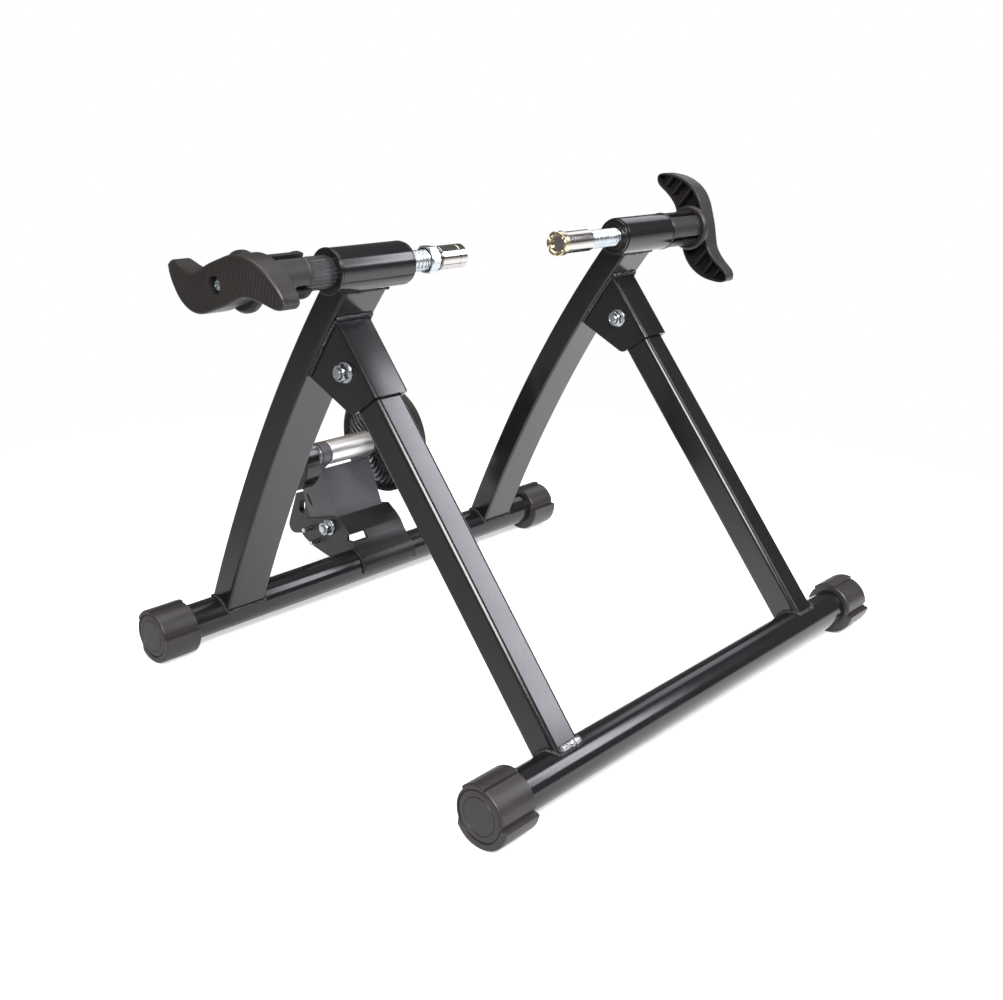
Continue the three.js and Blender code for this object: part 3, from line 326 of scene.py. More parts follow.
def tube(low, high, outer, inner):
    """The profile of a plain tube between two X places."""
    return [(low, outer), (high, outer), (high, inner), (low, inner)]


# Satin black with a slight orange peel, which breaks up the softboxes' edges.
powder_coat = finish("satin black powder coat", "121214", "1a1a1d", 0.0, 0.14, 0.19, 0.0022, 0.012)

tube_radius = 0.017
for name, body in (("rear_base_tube", "base"), ("front_base_tube", "front_frame")):
    wall = tube(*ends(name), tube_radius, tube_radius - 0.0015)
    shell = turned(softened(wall, 0.0004, ring=True), middle(name), ring=True)
    piece(name + ".steel", [shell], powder_coat, "powder_coat", body, name)

# End caps.
# Moulded rubber feet pushed on the tubes. Their rims step between three radii, so that a turned
# cap levels the stand, and a ring is pressed into each end face.


def cap_rim(turn):
    """The rim's radius by the angle from the back, for a cap turned by some degrees."""
    plain, groove, low_step, high_step = 0.0225, 0.0215, 0.0245, 0.026
    steps = (
        (6, plain), (78.5, plain), (79, groove), (80.5, groove),
        (81, low_step), (135, low_step), (135.5, groove), (137, groove),
        (137.5, plain), (205, plain), (216, high_step), (346, high_step),
        (352.5, 0.0262), (353, 0.0262), (354, 0.0212), (363, 0.0212),
        (364, plain), (366, plain),
    )  # fmt: skip

    def radius(angle):
        # The steps count from the front, the turned body's angles from the back.
        up_from_front = (180 - degrees(angle) + turn - 6) % 360 + 6
        for (start, low), (end, high) in zip(steps, steps[1:]):
            if start <= up_from_front <= end:
                return low + (high - low) * (up_from_front - start) / (end - start)
        return plain

    return radius


def less(radius, amount):
    """A radius by angle, drawn in by an amount."""
    return lambda angle: radius(angle) - amount


def profile(start, out, *corners):
    """A profile of (depth, radius) corners, from a start along X in the direction given."""
    return [(start + out * depth, radius) for depth, radius in corners]


# Dull black rubber with a fine matt grain and paler bloom.
rubber = finish("black rubber", "222021", "322f30", 0.0, 0.3, 0.44, 0.0009, 0.2)

tube_height = 0.026
cap_edge = 0.0016
for end in ("rear", "front"):
    for side, out in (("left", -1), ("right", 1)):
        name = f"{end}_{side}_cap"
        mouth, face = ends(name, out)
        # The rear caps sit one facet further round.
        rim = cap_rim(-15 if end == "rear" else 0)
        rows = profile(
            mouth,
            out,
            (0.012, tube_radius + 0.0002),
            (0, tube_radius + 0.0002),
            (0, tube_radius + 0.002),
            (0.0004, less(rim, 0.0009)),
            (0.0012, rim),
        )
        for k in range(6):
            bend = pi / 2 * k / 5
            drawn_in = less(rim, cap_edge * (1 - cos(bend)))
            rows.append((face - out * cap_edge * (1 - sin(bend)), drawn_in))
        # The pressed ring, from its outside in.
        rows += softened(
            profile(
                face,
                -out,
                (0, 0.0206),
                (0.0013, 0.0203),
                (0.0013, 0.0197),
                (0.0005, 0.0194),
                (0.0002, 0.0152),
                (0.0007, 0.015),
                (0.0007, 0.0145),
                (0.0001, 0.0143),
                (0, 0.006),
            ),
            0.0003,
        )
        rows.append((face, 0))
        centre = (middle(f"{end}_base_tube")[0], tube_height)
        body = f"{end}_{side}_foot"
        piece(name + ".rubber", [turned(rows, centre, 240)], rubber, "rubber", body, name, sharp=28)

# Legs.
# The rear legs are bent from 44 by 25 mm box tube and welded between base tube and head tube.
# The front legs are straight 28 mm square tube with a round top at the fold bolt.


def box_section(width, depth, corner, steps=5):
    """A rectangle with rounded corners, as (x, forward) points."""
    points = []
    for quarter, (u, v) in enumerate(((1, 1), (-1, 1), (-1, -1), (1, -1))):
        for k in range(steps + 1):
            angle = pi / 2 * (quarter + k / steps)
            across = u * (width / 2 - corner) + corner * cos(angle)
            points.append((across, v * (depth / 2 - corner) + corner * sin(angle)))
    return points


def swept(section, stations, x):
    """Points and faces of a section carried along stations of (back, height, forward normal)."""
    points = []
    for back, height, normal in stations:
        for across, forward_by in section:
            points.append(
                (x + across, back + normal[0] * forward_by, height + normal[1] * forward_by)
            )
    return points, skin(len(stations), len(section), capped=True)


def slab(outline, low, high, edge, steps=5):
    """A plate between two X places from a (back, height) outline, with rounded long edges."""
    insets = []
    for i, corner in enumerate(outline):
        before = (Vector(corner) - Vector(outline[i - 1])).normalized()
        after = (Vector(outline[(i + 1) % len(outline)]) - Vector(corner)).normalized()
        first = Vector((-before.y, before.x))
        second = Vector((-after.y, after.x))
        insets.append((first + second) / (1 + first.dot(second)))
    bends = [pi / 2 * k / steps for k in range(steps + 1)]
    rows = [(low + edge * (1 - cos(bend)), edge * (1 - sin(bend))) for bend in bends]
    rows += [(high + low - x, inset) for x, inset in reversed(rows)]
    points = []
    for x, inset in rows:
        for corner, inward in zip(outline, insets):
            points.append((x, corner[0] + inward.x * inset, corner[1] + inward.y * inset))
    return points, skin(len(rows), len(outline), capped=True)


rear_leg_width, rear_leg_depth = 0.044, 0.025
front_leg_width = 0.028
rear_axis = middle("rear_base_tube")
front_axis = middle("front_base_tube")
head_axis = middle("left_head_tube")
fold_axis = middle("left_fold_bolt")
bend_point = (rear_axis[0] - 0.08445, rear_axis[1] + 0.2087)
leg_x = {side: sum(ends(f"{side}_head_tube")) / 2 for side in ("left", "right")}
front_run = Vector(fold_axis) - Vector(front_axis)
leg_length = front_run.length


def rear_leg_station(share):
    """A place on the rear leg's bend, with the direction that points forward from it."""
    rest = 1 - share
    knots = list(zip(rear_axis, bend_point, head_axis))
    place = [rest**2 * a + 2 * share * rest * b + share**2 * c for a, b, c in knots]
    along = Vector([rest * (b - a) + share * (c - b) for a, b, c in knots]).normalized()
    return place[0], place[1], (-along.y, along.x)


def along_line(start, direction):
    """A place function for a straight leg that starts at a tube's axis. It takes the distance
    from the axis along the leg, and the distance forward of the leg's middle."""
    run = Vector(direction).normalized()
    return lambda along, forward_by: (
        start[0] + run.x * along - run.y * forward_by,
        start[1] + run.y * along + run.x * forward_by,
    )


on_front_leg = along_line(front_axis, front_run)

for side in ("left", "right"):
    name = f"rear_{side}_leg"
    stations = [rear_leg_station(0.027 + 0.945 * k / 60) for k in range(61)]
    shell = swept(box_section(rear_leg_width, rear_leg_depth, 0.0027), stations, leg_x[side])
    piece(name + ".steel", [shell], powder_coat, "powder_coat", "base", name)

    name = f"front_{side}_leg"
    half = front_leg_width / 2
    outline = [on_front_leg(0.009, -half)]
    for k in range(25):
        angle = pi * k / 24
        outline.append(on_front_leg(leg_length + half * sin(angle), -half * cos(angle)))
    outline.append(on_front_leg(0.009, half))
    shell = slab(outline, leg_x[side] - half, leg_x[side] + half, 0.0042, steps=8)
    piece(name + ".steel", [shell], powder_coat, "powder_coat", "front_frame", name)

# Head tubes.
# Short 35 mm tubes across the tops of the rear legs, which hold the screw clamps.

head_radius = 0.0175
for side in ("left", "right"):
    name = f"{side}_head_tube"
    wall = tube(*ends(name), head_radius, 0.0155)
    shell = turned(softened(wall, 0.0005, ring=True), head_axis, ring=True)
    piece(name + ".steel", [shell], powder_coat, "powder_coat", "base", name)

# Fold brackets.
# U brackets of 3 mm sheet, welded to the rear legs. Each covers the top of a front leg.


def dressed(name, width):
    """The shape of a CAD piece with its sharp edges rounded."""
    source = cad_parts[name]
    work = bmesh.new()
    work.from_mesh(source.data)
    work.transform(source.matrix_world)
    bmesh.ops.remove_doubles(work, verts=work.verts, dist=2e-6)
    bmesh.ops.dissolve_limit(work, angle_limit=radians(1), verts=work.verts, edges=work.edges)
    edges = [
        edge
        for edge in work.edges
        if len(edge.link_faces) == 2 and edge.calc_face_angle() > radians(48)
    ]
    bmesh.ops.bevel(
        work,
        geom=edges,
        offset=width,
        segments=2,
        profile=0.6,
        affect="EDGES",
        clamp_overlap=True,
    )
    work.verts.index_update()
    points = [vert.co.copy() for vert in work.verts]
    faces = [[vert.index for vert in face.verts] for face in work.faces]
    work.free()
    return points, faces


for side in ("left", "right"):
    name = f"{side}_fold_bracket"
    shell = dressed(name, 0.0007)
    piece(name + ".sheet", [shell], powder_coat, "powder_coat", "base", name, sharp=50)

# Fold bolts and nuts.
# Zinc plated M8 flange bolts with flange nuts on the left, through a bush inside each front leg.


def lowest(radius, cone):
    """The smaller of an outline's radius and a chamfer's."""
    return lambda angle: min(radius(angle), cone)


def hex_rows(seat, end, width, turn=0.0, both=False):
    """Rows of a hexagon from its seat to its chamfered end. Both ends may be chamfered."""
    out = 1 if end > seat else -1

    def shape(angle):
        return width / 2 / cos((angle - turn + pi / 6) % (pi / 3) - pi / 6)

    cones = (0.47 * width, 0.5 * width, 0.52 * width, 0.55 * width, width / sqrt(3))
    chamfer = list(zip((0, 0.0003, 0.0007, 0.0012, 0.0018), cones))
    rows = [(end - out * x, lowest(shape, cone)) for x, cone in reversed(chamfer)]
    if both:
        return [(seat + out * x, lowest(shape, cone)) for x, cone in chamfer] + rows
    return [(seat, shape)] + rows


hexagon_width = 0.013
flange_height = 0.0022


def flange_rows(seat, out, bore):
    """Rows of a flange of 17.6 mm, from its seat to the foot of its hexagon."""
    corners = profile(
        seat, out, (0, bore), (0, 0.0088), (0.0015, 0.0084), (flange_height, 0.0066)
    )
    return softened(corners, 0.0003)


def flange_bolt(name, axis):
    """An M8 flange bolt in the place of a CAD one, with its head to the right."""
    low, high = ends(name)
    seat = high - 0.0075
    rows = [(low, 0), (low, 0.0033), (low + 0.0006, 0.004), (seat, 0.004)]
    rows += flange_rows(seat, 1, 0.005)
    rows += hex_rows(seat + flange_height, high, hexagon_width) + [(high, 0)]
    piece(name + ".zinc", [turned(rows, axis)], zinc, "zinc_plate", "base", name, sharp=30)


def flange_nut(name, axis):
    """An M8 flange nut in the place of a CAD one, with its seat to the right."""
    low, high = ends(name)
    rows = [(high, 0.0043)] + flange_rows(high, -1, 0.0045)
    rows += hex_rows(high - flange_height, low, hexagon_width)
    rows += [(low, 0.0052), (low + 0.0008, 0.0043)]
    shell = turned(rows, axis, ring=True)
    piece(name + ".zinc", [shell], zinc, "zinc_plate", "base", name, sharp=30)


# Bluish bright zinc with fine crystal clouds.
zinc = finish("bright zinc plate", "a9b4bb", "d5dde2", 1.0, 0.18, 0.34, 0.0007, 0.12, cloud=0.006)

for side in ("left", "right"):
    flange_bolt(f"{side}_fold_bolt", fold_axis)
    flange_nut(f"{side}_fold_nut", fold_axis)

# Inner bushes and threaded sleeves.
# Black plastic bushes line the head tubes. Outside, each sleeve has a glossy ring against the
# tube's end and a fluted collar that the handle's staves slide over.

# Moulded black plastic with a spark-eroded grain.
plastic = finish("grained black plastic", "181716", "232120", 0.0, 0.36, 0.48, 0.0007, 0.25)
# The same plastic polished by the mould.
glossy_plastic = finish("glossy black plastic", "0f0f10", "171718", 0.0, 0.14, 0.24, 0.0012, 0.05)
# Greyer where the fluted collar is worn by the staves.
collar_grey = finish("worn grey plastic", "202022", "303033", 0.0, 0.26, 0.38, 0.0008, 0.2)

rod_bore = 0.0089
bush_radius = 0.0152


def fluted(angle):
    """The collar's radius by angle, with 24 flutes round it."""
    return 0.0127 - 0.00035 * (1 - cos(24 * angle))


for side, out in (("left", -1), ("right", 1)):
    name = f"{side}_inner_bush"
    near, far = ends(name, out)
    wall = profile(near, out, (0, 0.0166), (0.0027, 0.0166), (0.0027, bush_radius))
    wall += [(far, bush_radius), (far, rod_bore)]
    # A groove round the lip.
    wall += profile(
        near, out, (0, rod_bore), (0, 0.0118), (0.0007, 0.0122), (0.0007, 0.0128), (0, 0.0132)
    )
    shell = turned(softened(wall, 0.0007, ring=True), head_axis, ring=True)
    piece(name + ".plastic", [shell], glossy_plastic, "moulded_plastic", "base", name)

    name = f"{side}_threaded_sleeve"
    inner, outer = ends(name, out)
    seat = outer - out * 0.0305
    wall = profile(seat, out, (0, 0.0118), (0, 0.018), (0.0025, 0.018), (0.0025, 0.0118))
    shell = turned(softened(wall, 0.0009, ring=True), head_axis, ring=True)
    piece(name + ".ring", [shell], glossy_plastic, "moulded_plastic", "base", name)
    rows = [(inner, rod_bore), (inner, bush_radius), (seat, bush_radius), (seat, 0.0115)]
    rows += [(seat + out * 0.0024, fluted), (outer - out * 0.0006, fluted)]
    rows += [(outer, less(fluted, 0.0006)), (outer, rod_bore)]
    shell = turned(rows, head_axis, 288, ring=True)
    piece(name + ".collar", [shell], collar_grey, "moulded_plastic", "base", sharp=40)

# Screw rods and lock nut.
# Zinc plated rods with a rolled thread, 17 mm across and 4 mm pitch, and a nut of 21 mm that
# locks the left one.


def new_tree(name, makes, inputs):
    """An empty node tree with its named inputs, and the outputs that give them."""
    tree = bpy.data.node_groups.new(name, "GeometryNodeTree")
    tree.interface.new_socket(name=makes, in_out="OUTPUT", socket_type="NodeSocketGeometry")
    for label, kind in inputs.items():
        tree.interface.new_socket(name=label, in_out="INPUT", socket_type="NodeSocket" + kind)
    return tree, node(tree, "NodeGroupInput").outputs


def coated(tree, shape, material):
    """Ends a node tree: what it makes becomes plain mesh and gets its material."""
    real = node(tree, "GeometryNodeRealizeInstances", {"Geometry": shape})
    coat = node(tree, "GeometryNodeSetMaterial", {"Geometry": real, "Material": material})
    node(tree, "NodeGroupOutput", {0: coat})
    return tree


def thread_tree():
    """Node tree of a threaded bar: a grid wrapped round the X axis with a helical groove."""
    sizes = dict.fromkeys(("Start", "Length", "Radius", "Pitch", "Depth"), "Float")
    inputs = {**sizes, "Rows": "Int", "Finish": "Material"}
    tree, given = new_tree("rolled thread", "Thread", inputs)
    grid = node(
        tree,
        "GeometryNodeMeshGrid",
        {"Size X": given["Length"], "Size Y": tau, "Vertices X": given["Rows"], "Vertices Y": 49},
    )
    spot = node(tree, "ShaderNodeSeparateXYZ", {0: node(tree, "GeometryNodeInputPosition")})
    across, around = spot.outputs["X"], spot.outputs["Y"]
    # The groove: how far round its own turn each place lies, and how deep it is there.
    turns = node(tree, "ShaderNodeMath", {0: around, 1: tau}, operation="DIVIDE")
    pitches = node(tree, "ShaderNodeMath", {0: across, 1: given["Pitch"]}, operation="DIVIDE")
    phase = node(tree, "ShaderNodeMath", {0: pitches, 1: turns}, operation="SUBTRACT")
    angle = node(tree, "ShaderNodeMath", {0: phase, 1: tau}, operation="MULTIPLY")
    wave = node(tree, "ShaderNodeMath", {0: angle}, operation="COSINE")
    crest = node(tree, "ShaderNodeMapRange", {"Value": wave, "From Min": -0.75, "From Max": 0.75})
    sunk = node(tree, "ShaderNodeMath", {0: 1.0, 1: crest}, operation="SUBTRACT")
    groove = node(tree, "ShaderNodeMath", {0: sunk, 1: given["Depth"]}, operation="MULTIPLY")
    radius = node(tree, "ShaderNodeMath", {0: given["Radius"], 1: groove}, operation="SUBTRACT")
    # The grid's width becomes the way round.
    cosine = node(tree, "ShaderNodeMath", {0: around}, operation="COSINE")
    sine = node(tree, "ShaderNodeMath", {0: around}, operation="SINE")
    back = node(tree, "ShaderNodeMath", {0: radius, 1: cosine}, operation="MULTIPLY")
    height = node(tree, "ShaderNodeMath", {0: radius, 1: sine}, operation="MULTIPLY")
    half = node(tree, "ShaderNodeMath", {0: given["Length"], 1: 0.5}, operation="MULTIPLY")
    from_start = node(tree, "ShaderNodeMath", {0: across, 1: half}, operation="ADD")
    along = node(tree, "ShaderNodeMath", {0: from_start, 1: given["Start"]}, operation="ADD")
    wrapped = node(tree, "ShaderNodeCombineXYZ", {"X": along, "Y": back, "Z": height})
    moved = node(tree, "GeometryNodeSetPosition", {"Geometry": grid, "Position": wrapped})
    closed = node(tree, "GeometryNodeMergeByDistance", {"Geometry": moved, "Distance": 1e-6})
    return coated(tree, closed, given["Finish"])


def taken(made):
    """The points and faces of an object with its modifiers applied. The object is removed."""
    mesh = baked(made)
    bpy.data.objects.remove(made)
    return [vert.co.copy() for vert in mesh.vertices], [tuple(p.vertices) for p in mesh.polygons]


def grown(tree, inputs, points=(), edges=(), faces=()):
    """What a node tree makes from some points and edges, as points and faces."""
    start = bpy.data.meshes.new("start")
    start.from_pydata(list(points), list(edges), list(faces))
    carrier = placed("start", start)
    modifier = carrier.modifiers.new("grown", "NODES")
    modifier.node_group = tree
    for item in tree.interface.items_tree:
        if item.in_out == "INPUT" and item.name in inputs:
            modifier[item.identifier] = inputs[item.name]
    return taken(carrier)


def carried(shell, axis):
    """A shell made about the X axis, moved to another axis along X."""
    points, faces = shell
    return [(x, y + axis[0], z + axis[1]) for x, y, z in points], faces


thread = thread_tree()
thread_pitch = 0.004
nose_length = 0.008
for side, out in (("left", -1), ("right", 1)):
    name = f"{side}_screw_rod"
    tip, end = ends(name, out)
    tip += out * nose_length
    plain = out * 0.0012
    first, last = sorted((tip + plain, end - plain))
    sizes = {
        "Start": first,
        "Length": last - first,
        "Radius": 0.0086,
        "Pitch": thread_pitch,
        "Depth": 0.0011,
        "Rows": 12 * int((last - first) / thread_pitch) + 1,
        "Finish": zinc,
    }
    # A plain nose goes into the cup, and a core closes the thread's ends.
    core = profile(
        tip, -out, (nose_length, 0), (nose_length, 0.0048), (0.0073, 0.0055), (0, 0.0055)
    )
    core += [(tip, 0.0072), (tip + plain, 0.0082), (tip + plain * 2, 0.0074)]
    core += [(end - plain * 2, 0.0074), (end - plain, 0.0082), (end, 0.0072), (end, 0)]
    shells = [carried(grown(thread, sizes), head_axis), turned(core, head_axis, 48)]
    piece(name + ".zinc", shells, zinc, "zinc_plate", f"{side}_screw", name, sharp=60)

low, high = ends("left_lock_nut")
rows = hex_rows(high, low, 0.021, radians(30), both=True)
rows += [(low, 0.0098), (low + 0.0009, rod_bore), (high - 0.0009, rod_bore), (high, 0.0098)]
shell = turned(rows, head_axis, ring=True)
piece("left_lock_nut.zinc", [shell], zinc, "zinc_plate", "lock_nut", "left_lock_nut", sharp=30)

# Axle cups.
# Chromed steel cups that grip the ends of the wheel's axle. The right one has a notched ring.

# Clear chrome with a faint haze.
chrome = finish(
    "chrome plate", "a3a19c", "cfcdc8", 1.0, 0.1, 0.2, 0.0016, 0.06, stretch=(0.08, 1, 1)
)
# Yellow passivated zinc of the notched ring.
brassy = finish("yellow zinc plate", "b9b08f", "d8d2b8", 1.0, 0.16, 0.3, 0.0015, 0.08)

cup_radius = 0.01
socket_radius = 0.0074
# The socket that the rod's nose goes into.
nose_socket = ((0, 0.0058), (0.0083, 0.0058), (0.0083, 0))

back, face = ends("left_axle_cup")
corners = profile(
    face,
    -1,
    (0.014, 0),
    (0.0125, socket_radius),
    (0.001, socket_radius),
    (0, 0.0084),
    (0, cup_radius),
    (0.0075, cup_radius),
    (0.0079, 0.0096),
    (0.0083, cup_radius),
)
corners += [(back, cup_radius)] + profile(back, 1, *nose_socket)
shell = turned(softened(corners, 0.0008), head_axis)
piece("left_axle_cup.chrome", [shell], chrome, "chrome_plate", "left_cup", "left_axle_cup")

face, back = ends("right_axle_cup")
corners = profile(face, 1, (0.004, 0.0095), (0.008, 0.0101), (0.0085, cup_radius))
corners += [(back, cup_radius)] + profile(back, -1, *nose_socket)
shell = turned([(face + 0.004, 0)] + softened(corners, 0.0008), head_axis)
piece("right_axle_cup.chrome", [shell], chrome, "chrome_plate", "right_cup", "right_axle_cup")


def notched(depth):
    """A place along X by angle, with six V notches across the mouth."""

    def place(angle):
        off = abs(angle % (pi / 3) - pi / 6) * 0.0095
        return face + depth + max(0.0, 0.0019 * (1 - off / 0.0017))

    return place


rows = profile(face, 1, (0.014, 0), (0.0125, socket_radius), (0.004, socket_radius))
rows += [(notched(0.0012), socket_radius), (notched(0.0), 0.0084), (notched(0.0), 0.0106)]
rows += [(notched(0.0007), 0.0113)]
rows += profile(
    face, 1, (0.0073, 0.0113), (0.008, 0.0106), (0.008, 0.0092), (0.014, 0.0092), (0.014, 0)
)
shell = turned(rows, head_axis, 240)
piece("right_axle_cup.ring", [shell], brassy, "chrome_plate", "right_cup")

# Handles.
# One moulding for both ends: an S-shaped blade with a fluted face and a hollow ribbed back, a
# hub ring, and a sleeve of four staves. The left one is turned half a turn about the upright axis.

reach = 0.06545
blade_back = 0.008
blade_depth = 0.021
# The depth that the blade's face loses towards its tips.
face_drop = 0.007
pocket_depth = 0.013
stave_length = 0.046
# Points of the upper edge as shares of the reach, from tip to tip: along, and off the middle.
edge_shares = (
    (1.008, 0.17), (0.985, 0.235), (0.91, 0.307), (0.81, 0.368), (0.7, 0.423), (0.56, 0.462),
    (0.42, 0.472), (0.28, 0.45), (0.146, 0.394), (-0.03, 0.278), (-0.185, 0.168), (-0.32, 0.055),
    (-0.44, -0.028), (-0.56, -0.064), (-0.7, -0.078), (-0.81, -0.076), (-0.9, -0.078),
    (-0.968, -0.105),
)  # fmt: skip


def between(a, b, start, end, time):
    """The place between two points at a time, from the times of the two."""
    return a * ((end - time) / (end - start)) + b * ((time - start) / (end - start))


def blade_edge():
    """The blade's upper edge between its tips, as points of growing place along the blade."""
    knots = [Vector(share) * reach for share in edge_shares]
    knots += [-knot for knot in knots]
    curve = []
    count = len(knots)
    for i in range(count):
        a, b, c, d = (knots[(i + k) % count] for k in (-1, 0, 1, 2))
        times = [0]
        for start, end in ((a, b), (b, c), (c, d)):
            times.append(times[-1] + sqrt((end - start).length))
        for k in range(24):
            time = times[1] + (times[2] - times[1]) * k / 24
            ab = between(a, b, times[0], times[1], time)
            bc = between(b, c, times[1], times[2], time)
            cd = between(c, d, times[2], times[3], time)
            early = between(ab, bc, times[0], times[2], time)
            late = between(bc, cd, times[1], times[3], time)
            curve.append(between(early, late, times[1], times[2], time))
    count = len(curve)
    start = max(range(count), key=lambda i: curve[i].x)
    end = min(range(count), key=lambda i: curve[i].x)
    if end < start:
        end += count
    return [curve[i % count] for i in range(start, end + 1)][::-1]


upper_edge = blade_edge()


def edge_at(along):
    """How far the blade's upper edge lies from its middle line, at a place along it."""
    for first, second in zip(upper_edge, upper_edge[1:]):
        if first.x <= along <= second.x and second.x > first.x:
            share = (along - first.x) / (second.x - first.x)
            return first.y + (second.y - first.y) * share
    return upper_edge[0].y if along < 0 else upper_edge[-1].y


def blade_shell():
    """The blade as one closed loft of sections across it, in the handle's own frame."""
    tip = min(upper_edge[-1].x, -upper_edge[0].x)
    columns = 420
    wall = 0.0028
    lip = 0.0005
    bends = [pi / 2 * k / 5 for k in range(6)]
    points = []
    for i in range(columns + 1):
        along = tip * sin(pi / 2 * (2 * i / columns - 1))
        high, low = edge_at(along), -edge_at(-along)
        if high < low:
            high = low = (high + low) / 2
        front = blade_back + blade_depth - face_drop * (along / reach) ** 2
        pocket = blade_back + pocket_depth * (front - blade_back) / blade_depth
        width = high - low
        corner = min(0.0024, width * 0.48)
        inner = max(width / 2 - wall, 0)
        floor_at = blade_back + (pocket - blade_back) * min(1, inner / 0.0015)
        side_in = width / 2 - inner
        flute = 0.00045 * (0.5 - 0.5 * cos(tau * along / 0.0031)) ** 3
        rounding = [(corner * (1 - cos(b)), front - corner * (1 - sin(b))) for b in bends]
        section = [(low + min(lip, width / 4), blade_back), (low, blade_back + lip)]
        section += [(low + drawn_in, depth) for drawn_in, depth in rounding]
        for k in range(1, 12):
            section.append((low + corner + (width - 2 * corner) * k / 12, front - flute))
        section += [(high - drawn_in, depth) for drawn_in, depth in reversed(rounding)]
        section += [(high, blade_back + lip), (high - min(lip, width / 4), blade_back)]
        section += [(high - side_in, blade_back), (high - side_in - 0.0002, floor_at)]
        section += [(low + side_in + 0.0002, floor_at), (low + side_in, blade_back)]
        points += [(depth, along, across) for across, depth in section]
    return points, skin(columns + 1, len(section))


def stave_shell(number):
    """One of four staves with a ridge at its end, in the handle's own frame."""
    corners = [(0.001, 0.0135), (0.001, 0.017)]
    corners += profile(
        -stave_length, 1, (0.004, 0.017), (0.003, 0.0176), (0.001, 0.0176), (0, 0.0168), (0, 0.0135)
    )
    section = softened(corners, 0.0005, ring=True)
    points = []
    steps = 20
    for k in range(steps + 1):
        for x, radius in section:
            half = pi / 4 - asin(0.0025 / radius)
            angle = radians(35) + pi / 2 * number + half * (2 * k / steps - 1)
            points.append((x, radius * cos(angle), radius * sin(angle)))
    return points, skin(steps + 1, len(section), capped=True)


def cut_round(shell, low, high, radius):
    """A shell with a round hole cut along X in its middle, from one place to another."""
    cutter_shell = turned([(low, 0), (low, radius), (high, radius), (high, 0)], (0, 0), 64)
    body, cutter = (placed("cut", joined("cut", [part])) for part in (shell, cutter_shell))
    modifier = body.modifiers.new("cut", "BOOLEAN")
    modifier.operation = "DIFFERENCE"
    modifier.solver = "EXACT"
    modifier.object = cutter
    cut = taken(body)
    bpy.data.objects.remove(cutter)
    return cut


blade_front = blade_back + blade_depth
hub = tube(0.0, blade_back + 0.0135, 0.016, rod_bore)
ring = [(0.0, 0.0135), (0.0, 0.0203), (0.002, 0.0223), (0.006, 0.0223)]
ring += [(0.0085, 0.0203), (0.0085, 0.0135)]
handle_shells = [
    cut_round(blade_shell(), blade_front - 0.005, blade_front + 0.01, 0.0065),
    turned(hub, (0, 0), ring=True),
    turned(softened(ring, 0.0009, ring=True), (0, 0), ring=True),
]
handle_shells += [stave_shell(number) for number in range(4)]
# Ribs across the hollow back, let half a millimetre into its floor.
for share in (0.42, 0.62, 0.8):
    for end in (-1, 1):
        along = end * share * reach
        low, high = -edge_at(-along) + 0.0023, edge_at(along) - 0.0023
        near, far = along - 0.001, along + 0.001
        top = blade_back + (pocket_depth + 0.0005) * (1 - face_drop / blade_depth * share * share)
        outline = [(near, low), (far, low), (far, high), (near, high)]
        handle_shells.append(slab(outline, blade_back + 0.0012, top, 0.0003, steps=2))

for side, out, turn in (("left", -1, radians(-15)), ("right", 1, radians(37))):
    name = f"{side}_handle"
    place = (
        Matrix.Translation((ends(name, out)[0] + out * stave_length, *head_axis))
        @ Matrix.Rotation(pi if side == "left" else 0, 4, "Z")
        @ Matrix.Rotation(turn, 4, "X")
    )
    shells = [([place @ Vector(spot) for spot in points], faces) for points, faces in handle_shells]
    piece(name + ".moulding", shells, plastic, "moulded_plastic", f"{side}_screw", name, sharp=40)

    # A cross recess in a shallow pan head.
    name = f"{side}_handle_screw"
    tip, face = ends(name, out)

    def sunk(drop, radius):
        """The head's face by angle, with the cross cut in it."""

        def place(angle):
            off = min(abs(sin(angle - turn)), abs(cos(angle - turn))) * radius
            cut = 0.0011 if off < 0.00055 and radius < 0.0029 else 0
            return face - out * (drop + cut)

        return place

    rows = [(sunk(0, 0.0), 0)]
    for k in range(1, 13):
        radius = 0.0045 * k / 12
        rows.append((sunk(0.0014 * (k / 12) ** 2.5, radius), radius))
    rows += [(face - out * 0.003, 0.0045), (face - out * 0.003, 0.0026), (tip, 0.0026), (tip, 0)]
    shell = turned(rows, head_axis, 144)
    piece(name + ".zinc", [shell], zinc, "zinc_plate", f"{side}_screw", name, sharp=40)

# Saddle bracket.
# Folded 3 mm sheet welded over the rear tube. Its two ears carry the arm's bolt and two studs.

# Duller than the tubes, from a thin coat inside the folds.
dull_coat = finish("dull black powder coat", "0e0e0f", "161617", 0.0, 0.3, 0.4, 0.0022, 0.03)

name = "saddle_bracket"
piece(name + ".sheet", [dressed(name, 0.0007)], dull_coat, "powder_coat", "base", name, sharp=50)
for name in ("ear_stud_1", "ear_stud_2"):
    low, high = ends(name)
    rows = [(low, 0), (low, 0.0021), (low + 0.0005, 0.0025), (high, 0.0025), (high, 0)]
    piece(name + ".zinc", [turned(rows, middle(name), 32)], zinc, "zinc_plate", "base", name)

# Weld beads.
# Rippled beads of metal arc welding under the powder coat: round the feet and tops of the legs,
# up the ears of the fold brackets and across their tops, and round the saddle's ends.


